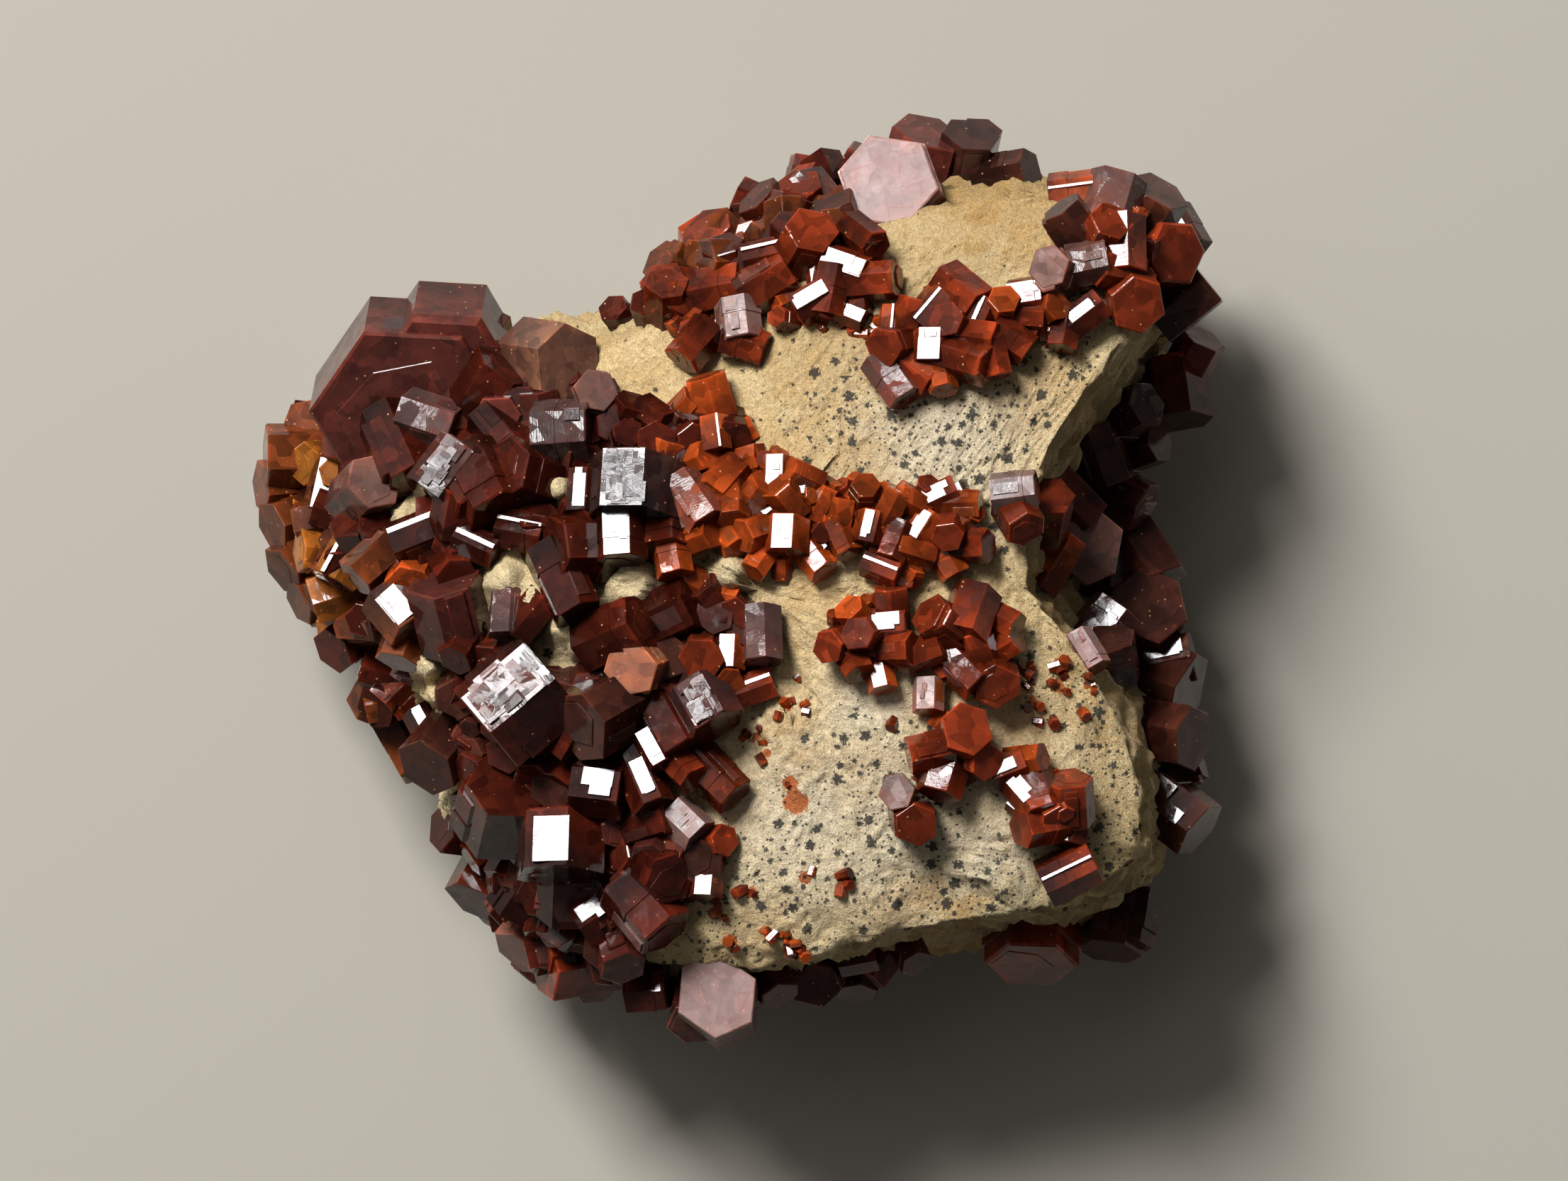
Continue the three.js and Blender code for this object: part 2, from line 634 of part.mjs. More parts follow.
function litCrystal([x, y, across, length, heading, lift]) {
  const h = THREE.MathUtils.degToRad(heading);
  const c = new THREE.Vector3(Math.cos(h), Math.sin(h), 0);
  c.addScaledVector(LIT_NORMAL, -c.dot(LIT_NORMAL)).normalize();
  const centre = new THREE.Vector3(x, y, 0).addScaledVector(LIT_NORMAL, -across / 2);
  const rise = EXPOSED_SHARE * heightAbove(c, across, length);
  centre.z = groundHeight(centre.x, centre.y) + rise + lift;
  return prismGeometry(across, length).applyMatrix4(axesMatrix(c, LIT_NORMAL, centre));
}

function leaningCrystal([x, y, across, length, lean, heading, turn, lift]) {
  const l = THREE.MathUtils.degToRad(lean);
  const h = THREE.MathUtils.degToRad(heading);
  const c = new THREE.Vector3(Math.sin(l) * Math.cos(h), Math.sin(l) * Math.sin(h), Math.cos(l));
  const face = new THREE.Vector3(-Math.cos(l) * Math.cos(h), -Math.cos(l) * Math.sin(h), Math.sin(l));
  face.applyAxisAngle(c, THREE.MathUtils.degToRad(turn));
  const rise = EXPOSED_SHARE * heightAbove(c, across, length);
  const centre = new THREE.Vector3(x, y, groundHeight(x, y) + rise + lift);
  return prismGeometry(across, length).applyMatrix4(axesMatrix(c, face, centre));
}

function solidFrom(geometry) {
  const place = geometry.attributes.position;
  const index = geometry.index;
  const known = new Map();
  const vertProperties = [];
  const renumbered = [];
  for (let i = 0; i < place.count; i += 1) {
    const corner = [place.getX(i), place.getY(i), place.getZ(i)];
    const key = corner.map((value) => value.toFixed(4)).join(" ");
    if (!known.has(key)) {
      known.set(key, vertProperties.length / 3);
      vertProperties.push(...corner);
    }
    renumbered.push(known.get(key));
  }
  const triVerts = [];
  for (let i = 0; i < index.count; i += 3) {
    const a = renumbered[index.getX(i)];
    const b = renumbered[index.getX(i + 1)];
    const c = renumbered[index.getX(i + 2)];
    if (a !== b && b !== c && c !== a) {
      triVerts.push(a, b, c);
    }
  }
  const mesh = new wasm.Mesh({
    numProp: 3,
    vertProperties: new Float32Array(vertProperties),
    triVerts: new Uint32Array(triVerts),
  });
  return new wasm.Manifold(mesh);
}

// The mesh sits at its own middle and is placed by its position
function meshFrom(solid, name, finish) {
  const { vertProperties, triVerts } = solid.getMesh();
  const geometry = new THREE.BufferGeometry();
  geometry.setAttribute("position", new THREE.Float32BufferAttribute(vertProperties, 3));
  geometry.setIndex(new THREE.Uint32BufferAttribute(triVerts, 1));
  geometry.computeBoundingBox();
  const middle = geometry.boundingBox.getCenter(new THREE.Vector3());
  geometry.translate(-middle.x, -middle.y, -middle.z);
  geometry.computeVertexNormals();
  const mesh = new THREE.Mesh(geometry, new THREE.MeshStandardMaterial({ ...finish, flatShading: true }));
  mesh.name = name;
  mesh.position.copy(middle);
  return mesh;
}

const specimen = new THREE.Group();
specimen.name = "vanadinite_on_matrix";
specimen.add(meshFrom(solidFrom(matrixGeometry(0)), "matrix", MATRIX_MATERIAL));

const swollenMatrix = solidFrom(matrixGeometry(GAP_TO_MATRIX));
for (const [name, rows] of Object.entries(CRYSTALS)) {
  const prisms = [...rows.lit.map(litCrystal), ...rows.leaning.map(leaningCrystal)];
  let grown = solidFrom(prisms[0]);
  for (const prism of prisms.slice(1)) {
    grown = grown.add(solidFrom(prism));
  }
  const exposed = grown.subtract(swollenMatrix).simplify(FINEST_DETAIL);
  specimen.add(meshFrom(exposed, name, CRYSTAL_MATERIAL));
}

export default specimen;
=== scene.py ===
# Vanadinite on matrix: a hand-sized specimen lying on its broken back, seen from straight above.
import math
import random

import bmesh
import bpy
from mathutils import Matrix, Vector, noise
from mathutils.bvhtree import BVHTree


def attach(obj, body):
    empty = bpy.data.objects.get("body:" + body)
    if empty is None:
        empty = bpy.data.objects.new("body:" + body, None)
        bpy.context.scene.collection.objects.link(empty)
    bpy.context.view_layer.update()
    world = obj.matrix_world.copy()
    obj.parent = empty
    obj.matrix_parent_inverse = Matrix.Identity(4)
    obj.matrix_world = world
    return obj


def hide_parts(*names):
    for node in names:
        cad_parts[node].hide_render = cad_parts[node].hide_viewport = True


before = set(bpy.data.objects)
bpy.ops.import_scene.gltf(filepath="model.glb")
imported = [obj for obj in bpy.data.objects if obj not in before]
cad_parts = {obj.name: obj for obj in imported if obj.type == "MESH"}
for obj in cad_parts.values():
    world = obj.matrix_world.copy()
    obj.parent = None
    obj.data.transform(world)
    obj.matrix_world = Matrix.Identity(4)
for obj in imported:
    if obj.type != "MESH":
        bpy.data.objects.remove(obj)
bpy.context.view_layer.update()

# Matrix. A broken plate of pale, finely granular dolomitic limestone with two flat fronts, a cliff on
# the right and a flat back. It is rock as it broke off the wall of the vein: no face is worked.
MM = 0.001
MATRIX_SMOOTHING = 3
FRONT_LEVELLING = 180
SHARP_EDGE_DEG = 34
SHARP_EDGE_CREASE = 0.85
# Sizes of the unevenness, and how far it rises or sinks on the fronts and more on the steep sides
LOW_SWELL_MM, SWELL_RISE_MM = 7.0, 0.15
LEDGE_STEP_MM = 0.12
RUBBLE_MM, RUBBLE_FRONT_MM, RUBBLE_SIDE_MM = 2.3, 0.1, 0.9
CHIP_MM, CHIP_FRONT_MM, CHIP_SIDE_MM = 1.1, 0.2, 0.5
GRIT_MM, GRIT_RISE_MM = 0.5, 0.26
BED_MM, BED_RISE_MM = 2.6, 1.5
CRAG_MM, CRAG_DEPTH_MM = 3.4, 1.8

# Every ray that looks for the ground starts here
ABOVE_THE_ROCK_MM = 60.0
DOWN = Vector((0, 0, -1))

matrix_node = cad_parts["matrix"]
rock_corners = [v.co / MM for v in matrix_node.data.vertices]
rock_tree = BVHTree.FromPolygons(rock_corners, [tuple(p.vertices) for p in matrix_node.data.polygons])


def ground(x, y):
    hit = rock_tree.ray_cast(Vector((x, y, ABOVE_THE_ROCK_MM)), DOWN)
    if hit[0] is not None:
        return hit[0].z
    return rock_tree.find_nearest(Vector((x, y, 10.0)))[0].z


def linear(hex_colour):
    channels = [int(hex_colour[i:i + 2], 16) / 255 for i in (1, 3, 5)]
    return [c / 12.92 if c <= 0.04045 else ((c + 0.055) / 1.055) ** 2.4 for c in channels] + [1.0]


def fill_sockets(tree, node, sockets):
    # A socket is named, or counted among the node's open ones. It takes a value, or a link from another
    # socket or from a node's first open output.
    still_open = [socket for socket in node.inputs if socket.enabled]
    for place, value in sockets.items():
        socket = still_open[place] if isinstance(place, int) else node.inputs[place]
        if isinstance(value, bpy.types.Node):
            value = next(output for output in value.outputs if output.enabled)
        if isinstance(value, bpy.types.NodeSocket):
            tree.links.new(value, socket)
        else:
            socket.default_value = value


def add_node(tree, kind, *sources, **settings):
    # Sources fill the open sockets in their order, and settings with a capital letter fill named ones
    node = tree.nodes.new("ShaderNode" + kind)
    for key, value in settings.items():
        if not key[0].isupper():
            setattr(node, key, value)
    named = {key: value for key, value in settings.items() if key[0].isupper()}
    fill_sockets(tree, node, {**dict(enumerate(sources)), **named})
    return node


def paint_over(tree, colour, layers):
    # Each layer is a mask, how much it covers where the mask is full, and its colour
    for mask, cover, paint in layers:
        share = add_node(tree, "Math", mask, cover, operation="MULTIPLY")
        shown = linear(paint) if isinstance(paint, str) else paint
        colour = add_node(tree, "Mix", share, colour, shown, data_type="RGBA")
    return colour


def new_material(name):
    material = bpy.data.materials.new(name)
    material.use_nodes = True
    tree = material.node_tree
    return material, tree, tree.nodes["Principled BSDF"]


def smooth_step(low, high, value):
    t = min(1.0, max(0.0, (value - low) / (high - low)))
    return t * t * (3 - 2 * t)


def soft_rock_mesh():
    mesh = matrix_node.data.copy()
    mesh.materials.clear()
    shape = bpy.data.objects.new("soft_rock", mesh)
    bpy.context.scene.collection.objects.link(shape)
    work = bmesh.new()
    work.from_mesh(mesh)
    bmesh.ops.remove_doubles(work, verts=work.verts, dist=1e-6)
    crease = work.edges.layers.float.new("crease_edge")
    for edge in work.edges:
        if edge.calc_face_angle(0.0) > math.radians(SHARP_EDGE_DEG):
            edge[crease] = SHARP_EDGE_CREASE
    work.to_mesh(mesh)
    work.free()
    smoothing = shape.modifiers.new("smoothing", "SUBSURF")
    smoothing.levels = MATRIX_SMOOTHING
    smoothing.render_levels = MATRIX_SMOOTHING
    drawn = shape.evaluated_get(bpy.context.evaluated_depsgraph_get())
    result = bpy.data.meshes.new_from_object(drawn)
    bpy.data.objects.remove(shape)
    return result


def level_the_fronts(mesh):
    # The two fronts broke along bedding and are nearly flat, so only their heights are evened out
    work = bmesh.new()
    work.from_mesh(mesh)
    fronts = [v for v in work.verts if v.normal.z > 0.8 and v.co.z > 17 * MM]
    for _ in range(FRONT_LEVELLING):
        bmesh.ops.smooth_vert(work, verts=fronts, factor=0.5, use_axis_z=True)
    work.to_mesh(mesh)
    work.free()


def rock_relief(p, steepness):
    swell = noise.noise(p / LOW_SWELL_MM) * SWELL_RISE_MM
    ledge_phase = p.z * 0.2 + p.x * 0.07 + p.y * 0.05 + noise.noise(p / 5.0) * 1.7
    ledge = smooth_step(0.44, 0.54, ledge_phase - math.floor(ledge_phase)) * LEDGE_STEP_MM
    rubble = abs(noise.noise(p / RUBBLE_MM)) * (RUBBLE_FRONT_MM + RUBBLE_SIDE_MM * steepness)
    chipped = abs(noise.noise(p / CHIP_MM + Vector((3, 7, 1))))
    chips = chipped * (CHIP_FRONT_MM + CHIP_SIDE_MM * steepness)
    grit = noise.noise(p / GRIT_MM) * GRIT_RISE_MM
    bed_phase = p.z / BED_MM + noise.noise(p / 6.0) * 1.1
    beds = abs(bed_phase - math.floor(bed_phase) - 0.5) * BED_RISE_MM
    crags = abs(noise.noise(p / CRAG_MM + Vector((9, 4, 2)))) * CRAG_DEPTH_MM
    return swell + ledge - rubble - chips + grit + steepness * (beds - crags)


# Where each colour or mark lies, as places and radii in millimetres
DENDRITE_PATCHES = [
    (25, -7, 4), (26.5, -13, 3.5), (25.5, -18.5, 4), (10, -15.5, 4.5), (11.5, -21, 4.5), (3, -22, 4.5),
    (-2.5, -24.5, 3.5), (7, 11, 4), (12, 9.5, 5), (16, 9, 5), (19.5, 13, 3.5), (23.5, 14.5, 3),
    (15.5, 12.5, 3), (-1.5, -3.5, 2), (8.7, -14.6, 2), (17, -22, 3.5),
]
OCHRE_PATCHES = [(21.5, -3, 4), (6, 13, 5), (17, 25, 5), (25, -9, 4), (16, -24.5, 6), (2.5, -12, 3)]
GREY_PATCHES = [(12, -17, 8), (4, -17, 7), (14, 10, 6), (18.5, -20, 5), (9, -9, 4)]
UPPER_PLATE = [(12, 17, 11), (17, 25, 7)]
GREEN_PATCHES = [(26.5, -20.5, 3.5), (24, -22.5, 3.5), (20, -24, 3.5)]
ORANGE_STAINS = [
    (3.6, -15.9, 1), (3.2, -14.6, 0.6), (5.5, 17.9, 0.5), (7.2, 19.1, 0.5), (4.3, -21.3, 0.5),
    (0.5, -22.4, 0.5), (7.2, -21.6, 0.35), (1.5, -25.2, 0.5), (-1, -25.8, 0.5), (3.4, -26.4, 0.8),
    (3, -9, 0.5), (0.7, -11.4, 0.4), (1.6, -12.5, 0.35), (22.4, -6.4, 0.7), (22.1, -7.8, 0.6),
    (20.4, -8.9, 0.5), (24.4, -7.6, 0.5),
]
# Bare rock that shows between the crystals of the left druse, where it stands up to their height and its
# colour is painted lighter, as painted light in their shade
BARE_WINDOWS = [
    (-24.4, 4.2, 1.2), (-22.6, -6.4, 1.3), (-22, -8.6, 1), (-13.2, 6.2, 1.2), (-8, -0.6, 2.3),
    (-17, -0.4, 1.6), (-14.8, -1.6, 1.6), (-12.6, -3.2, 2.1), (-11.6, -5, 1), (-1.6, 7.1, 1.3),
    (-1, 0.2, 1.5),
]
WINDOW_RISE_MM = 2.5
# Star sizes: spacing, least and greatest radius as shares of it, shift, arms, how crowded they are
DENDRITE_SIZES = [
    (1.5, 0.12, 0.33, 3.1, 2.5, 0.65), (0.9, 0.1, 0.27, 8.7, 3.0, 0.7), (0.5, 0.1, 0.26, 5.3, 2.0, 0.75),
]


def patch_weight(patches, x, y):
    return max(math.exp(-((x - px) ** 2 + (y - py) ** 2) / (r * r)) for px, py, r in patches)


def rock_mesh():
    mesh = soft_rock_mesh()
    level_the_fronts(mesh)
    mesh.name = "matrix_rock"
    wash = mesh.attributes.new("wash", "FLOAT_COLOR", "POINT")
    specks_and_painted_light = mesh.attributes.new("specks_and_painted_light", "FLOAT_COLOR", "POINT")
    normals = [v.normal.copy() for v in mesh.vertices]
    for v in mesh.vertices:
        p = v.co / MM
        normal = normals[v.index]
        steepness = smooth_step(0.25, 0.75, 1 - abs(normal.z)) * smooth_step(0.4, 3.0, p.z)
        above_base = smooth_step(0.25, 1.6, p.z)
        v.co = (p + normal * rock_relief(p, steepness) * above_base) * MM
        v.co.z = max(0.0, v.co.z)
        window = patch_weight(BARE_WINDOWS, p.x, p.y)
        if p.z > 20:
            v.co.z += smooth_step(0.2, 0.9, window) * WINDOW_RISE_MM * MM
        front = smooth_step(20, 26, p.z)
        wash.data[v.index].color = (
            patch_weight(OCHRE_PATCHES, p.x, p.y),
            patch_weight(GREY_PATCHES, p.x, p.y),
            patch_weight(GREEN_PATCHES, p.x, p.y),
            patch_weight(UPPER_PLATE, p.x, p.y),
        )
        # Dendrites, orange stains, steepness for the painted shade on steep sides, and the windows' weight
        # for painted light
        specks_and_painted_light.data[v.index].color = (
            patch_weight(DENDRITE_PATCHES, p.x, p.y) * front * (1 - steepness),
            patch_weight(ORANGE_STAINS, p.x, p.y) * front,
            steepness,
            window,
        )
    return mesh


def dolomitic_limestone():
    # Fresh broken limestone scatters light like chalk: no gloss, grains of 0.2 to 0.5 mm, iron stain in
    # buff and ochre, and blue-black manganese dendrites 0.4 to 1 mm across that lie flat in its skin.
    material, tree, skin = new_material("dolomitic_limestone")
    place = add_node(tree, "TexCoord").outputs["Object"]
    wash = add_node(tree, "Attribute", attribute_name="wash")
    tints = add_node(tree, "SeparateColor", wash.outputs["Color"])
    specks_and_painted_light = add_node(tree, "Attribute", attribute_name="specks_and_painted_light")
    amounts = add_node(tree, "SeparateColor", specks_and_painted_light.outputs["Color"])

    def grain(size_mm, detail, roughness):
        return add_node(tree, "TexNoise", place, 1 / (size_mm * MM), detail, roughness)

    def sharpened(value, low, high):
        return add_node(tree, "MapRange", value, low, high, interpolation_type="SMOOTHSTEP")

    def dendrites(spacing_mm, least, most, seed, arms):
        # A ragged star in each cell of a flat pattern, and the cell's own draw from 0 to 1
        spread_out = add_node(tree, "VectorMath", place, 1 / (spacing_mm * MM), operation="SCALE")
        ragged = add_node(tree, "TexNoise", spread_out, 7.5, 4.0, 0.7).outputs["Color"]
        shift = add_node(tree, "VectorMath", ragged, (0.5, 0.5, 0), spread_out, operation="MULTIPLY_ADD")
        flat = add_node(
            tree, "VectorMath", shift, (1, 1, 0), (seed, seed * 0.7, 0), operation="MULTIPLY_ADD",
        )
        cells = add_node(tree, "TexVoronoi", flat, voronoi_dimensions="2D", Scale=1.0, Randomness=1.0)
        away = add_node(tree, "VectorMath", flat, cells.outputs["Position"], operation="SUBTRACT")
        axes = add_node(tree, "SeparateXYZ", away)
        angle = add_node(tree, "Math", axes.outputs[1], axes.outputs[0], operation="ARCTAN2")
        draws = add_node(tree, "SeparateColor", cells.outputs["Color"])
        start = add_node(tree, "Math", draws.outputs[0], 6.28, operation="MULTIPLY")
        turned = add_node(tree, "Math", angle, arms, start, operation="MULTIPLY_ADD")
        wave = add_node(tree, "Math", turned, operation="COSINE")
        lobes = add_node(tree, "Math", wave, operation="ABSOLUTE")
        reach = add_node(tree, "Math", lobes, 0.4, 0.6, operation="MULTIPLY_ADD")
        size = add_node(tree, "MapRange", draws.outputs[1], 0.0, 1.0, least, most)
        edge = add_node(tree, "Math", reach, size, operation="MULTIPLY")
        inside = add_node(tree, "Math", edge, cells.outputs["Distance"], operation="SUBTRACT")
        return sharpened(inside, -0.01, 0.03), draws.outputs[2]

    ink = 0.0
    for spacing_mm, least, most, seed, arms, crowding in DENDRITE_SIZES:
        star, draw = dendrites(spacing_mm, least, most, seed, arms)
        wanted = add_node(tree, "Math", amounts.outputs[0], crowding, 0.02, operation="MULTIPLY_ADD")
        there = add_node(tree, "Math", draw, wanted, operation="LESS_THAN")
        one = add_node(tree, "Math", star, there, operation="MULTIPLY")
        ink = add_node(tree, "Math", ink, one, operation="MAXIMUM")

    mottle = sharpened(grain(2.4, 5, 0.7), 0.38, 0.7)
    ochre = add_node(tree, "Math", tints.outputs[0], mottle, operation="MULTIPLY")
    broken = add_node(tree, "Math", amounts.outputs[1], grain(0.6, 6, 0.85), operation="ADD")
    stained = add_node(tree, "Math", broken, 0.9, operation="SUBTRACT")
    colour = paint_over(tree, linear("#dfbc85"), (
        (sharpened(grain(8.0, 4, 0.6), 0.36, 0.66), 1.0, "#f0d9a9"),
        (wash.outputs["Alpha"], 0.75, "#bf9f6e"),
        (tints.outputs[1], 0.7, "#efe5cc"),
        (ochre, 0.75, "#b98a42"),
        (tints.outputs[2], 0.3, "#b0a763"),
        # Darker brown on the steep broken sides: painted shade where the sides turn away from the light
        (amounts.outputs[2], 0.35, "#9c7c4c"),
        # Lighter cream in the bare windows between the crystals: painted light over rock that lies in their
        # shade
        (specks_and_painted_light.outputs["Alpha"], 0.8, "#f2dfb4"),
        (sharpened(grain(0.3, 3, 0.75), 0.34, 0.7), 0.42, "#a08049"),
        (sharpened(grain(0.45, 4, 0.85), 0.6, 0.72), 0.45, "#f4e8cb"),
        (sharpened(grain(0.5, 4, 0.8), 0.6, 0.7), 0.5, "#86683a"),
        (sharpened(stained, 0.0, 0.1), 0.9, "#b3540f"),
        (ink, 0.9, "#2a2d2e"),
    ))
    coarse = add_node(tree, "Bump", Strength=1.0, Distance=0.5 * MM, Height=grain(0.9, 6, 0.8))
    grains = grain(0.28, 3, 0.8)
    fine = add_node(tree, "Bump", Strength=1.0, Distance=0.28 * MM, Height=grains, Normal=coarse)
    fill_sockets(tree, skin, {
        "Base Color": colour, "Roughness": 0.9, "IOR": 1.5, "Specular IOR Level": 0.25, "Normal": fine,
    })
    return material


rock_shape = rock_mesh()
drawn_rock_tree = BVHTree.FromPolygons(
    [v.co / MM for v in rock_shape.vertices], [tuple(p.vertices) for p in rock_shape.polygons],
)
rock_shape.materials.append(dolomitic_limestone())
for polygon in rock_shape.polygons:
    polygon.use_smooth = True
rock = bpy.data.objects.new("matrix_rock", rock_shape)
bpy.context.scene.collection.objects.link(rock)
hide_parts("matrix")
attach(rock, "root")

# Rock lump. A small porous knob of the same limestone stands out of the left edge of the plate,
# between the crystals, where the rock broke unevenly.
LUMP_PLACE = (-21.0, -15.9)
LUMP_RADII_MM = (1.2, 1.5, 1.9)

lump_centre = Vector((*LUMP_PLACE, ground(*LUMP_PLACE) + 1.4))
lump_work = bmesh.new()
bmesh.ops.create_icosphere(lump_work, subdivisions=5, radius=1.0)
for v in lump_work.verts:
    way = v.co.normalized()
    on_lump = lump_centre + Vector([w * r for w, r in zip(way, LUMP_RADII_MM)])
    hollows = abs(noise.noise(on_lump / 0.9)) * 0.5 + abs(noise.noise(on_lump / 0.4)) * 0.25
    v.co = (on_lump + way * (noise.noise(on_lump / 2.0) * 0.7 - hollows)) * MM
lump_shape = bpy.data.meshes.new("rock_lump")
lump_work.to_mesh(lump_shape)
lump_work.free()
lump_shape.materials.append(rock_shape.materials[0])
for polygon in lump_shape.polygons:
    polygon.use_smooth = True
lump = bpy.data.objects.new("rock_lump", lump_shape)
bpy.context.scene.collection.objects.link(lump)
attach(lump, "root")

# Left druse. Deep maroon to brown vanadinite grown crystal over crystal across the whole left side,
# with one giant tablet behind. The darkest and largest crystals; some prism faces mirror the light.
# A crystal is a hexagonal prism: flat ends, sharp edges, growth steps on its sides, a lustre like a gem's.
LIT_NORMAL = Vector((-0.19, 0.29, 0.94)).normalized()
EXPOSED_SHARE = 0.5
EDGE_WEAR_MM = 0.05
SIDE_CRYSTAL_CHANCE = 0.45
SIDE_CRYSTAL_LEAST_MM = 2.3
PLATE_CHANCE = 0.16
TERRACE_CHANCE = 0.25
# A crystal's tone: a deep colour that darkens its root as painted shade, a warmer one that lightens its tip
# as a painted glow, and how dull it is
TONES = {
    "wine": ("#2e100b", "#57241b", 0.05),
    "maroon": ("#1d0804", "#4a170b", 0.01),
    "brick": ("#330f07", "#7a2c12", 0.01),
    "orange": ("#501b08", "#9c4216", 0.01),
    "amber": ("#3a1808", "#9a5a1c", 0.01),
    "russet": ("#2b1108", "#6b3315", 0.02),
    "brown": ("#200c08", "#482216", 0.04),
    "rose": ("#381711", "#744838", 0.3),
    "cream": ("#5a2412", "#a3603a", 0.35),
    "tan": ("#371c12", "#664533", 0.15),
    "grey": ("#1a0906", "#3b1c16", 0.06),
    "mauve": ("#6c3b33", "#8e736e", 0.8),
}
# A lit face's way of shining: how far the crystal is turned from the light, its dullness, the number,
# share and tilt of the growth plates on it that face the light, and how deep its growth lines are
SHINE = {
    "mirror": (0, 0.0, 2, 0.3, 0.3, 0.0),
    "patch": (9, 0.0, 2, 0.62, 0.6, 0.0),
    "strip": (10, 0.0, 1, 0.22, 0.3, 0.0),
    "grey": (10, 0.25, 0, 0.0, 0.0, 0.7),
    "frosty": (4, 0.6, 2, 0.4, 4.0, 0.3),
    "striated": (7, 0.2, 1, 0.3, 0.5, 0.8),
    "broken": (8, 0.1, 12, 0.35, 6.0, 0.4),
    "banded": (8, 0.2, 1, 0.4, 0.3, 0.6),
    "mosaic": (2, 0.05, 24, 0.3, 5.0, 0.3),
    "chipped": (9, 0.0, 4, 0.6, 0.5, 0.1),
}
chance = random.Random(11)


def corner(k, apothems):
    a = math.radians(60 * k)
    along = (apothems[(k + 1) % 6] - apothems[k] * 0.5) / math.sin(math.radians(60))
    return Vector((
        math.cos(a) * apothems[k] - math.sin(a) * along,
        math.sin(a) * apothems[k] + math.cos(a) * along,
    ))


class Growth:
    def __init__(self):
        self.corners = []
        self.faces = []
        self.colours = []
        self.places = []
        self.lines = []

    def add_face(self, indices, colours, places, lines=0.0):
        self.faces.append(indices)
        self.colours.extend(colours)
        self.places.extend(places)
        self.lines.extend([lines] * len(indices))


def blend_tone(tone, amount, frost, dim):
    deep, glow, _ = TONES[tone]
    first, second = linear(deep), linear(glow)
    return [dim * (a + (b - a) * amount) for a, b in zip(first[:3], second[:3])] + [frost]


def add_prism(growth, centre, axes, outline, bottom, top, tone, dim, frosts, lines=0.0):
    radius = max(point.length for point in outline)
    bevel = radius * chance.uniform(0.02, 0.08)
    step_at = bottom + (top - bottom) * chance.uniform(0.35, 0.85)
    step_in = 1 - chance.choice((0.0, 0.0, 0.03, 0.05))
    rings = [
        (bottom, 1.0, 0.0),
        (step_at, 1.0, 0.45),
        (step_at + 0.02, step_in, 0.5),
        (top - bevel * 0.7, step_in, 0.85),
        (top, step_in * (1 - bevel / radius), 1.0),
    ]
    start = len(growth.corners)
    for height, scale, _ in rings:
        for point in outline:
            growth.corners.append(centre + axes @ Vector((point.x * scale, point.y * scale, height)))
    # The sides run from the deep colour at the root to the warmer one near the tip: painted shade at the
    # root, a painted glow towards the tip
    for r in range(len(rings) - 1):
        for k in range(6):
            n = (k + 1) % 6
            a, b = start + r * 6 + k, start + r * 6 + n
            low = blend_tone(tone, rings[r][2] * 0.8, frosts[0], dim)
            high = blend_tone(tone, rings[r + 1][2] * 0.8, frosts[0], dim)
            v0, v1 = [(ring[0] - bottom) / (top - bottom) for ring in rings[r:r + 2]]
            flat = ((k, v0), (k + 1, v0), (k + 1, v1), (k, v1))
            growth.add_face((a, b, b + 6, a + 6), (low, low, high, high), flat, lines)
    last = start + (len(rings) - 1) * 6
    flat = [(0.5 + p.x / radius * 0.5, 0.5 + p.y / radius * 0.5) for p in outline]
    growth.add_face(tuple(range(last, last + 6)), [blend_tone(tone, 0.5, frosts[1], dim)] * 6, flat)
    growth.add_face(
        tuple(reversed(range(start, start + 6))),
        [blend_tone(tone, 0.0, frosts[0], dim)] * 6,
        list(reversed(flat)),
    )


def add_plate(growth, centre, axes, turn, apothem, u, v, rise, tilts, tone, dim, frost, lines=0.0):
    # A growth plate: a thin layer of the same crystal on one side, tilted by a few degrees at most
    start = len(growth.corners)
    side_axes = axes @ Matrix.Rotation(math.radians(60 * turn), 3, "Z")
    for depth in (-0.25, 0.0):
        for cu, cv in ((0, 0), (1, 0), (1, 1), (0, 1)):
            lift = rise + tilts[0] * (cu - 0.5) * (u[1] - u[0]) + tilts[1] * (cv - 0.5) * (v[1] - v[0])
            place = Vector((apothem + (depth or lift), u[cu], v[cv]))
            growth.corners.append(centre + side_axes @ place)
    shade = [blend_tone(tone, chance.uniform(0.3, 0.8), frost, dim)] * 4
    flat = ((0, 0), (1, 0), (1, 1), (0, 1))
    for quad in ((4, 5, 6, 7), (3, 2, 1, 0), (0, 1, 5, 4), (1, 2, 6, 5), (2, 3, 7, 6), (3, 0, 4, 7)):
        growth.add_face(tuple(start + q for q in quad), shade, flat, lines)


def random_span(size, share):
    width = size * min(1.0, share * chance.uniform(0.6, 1.5))
    low = -size / 2 + (size - width) * chance.random()
    return low, low + width


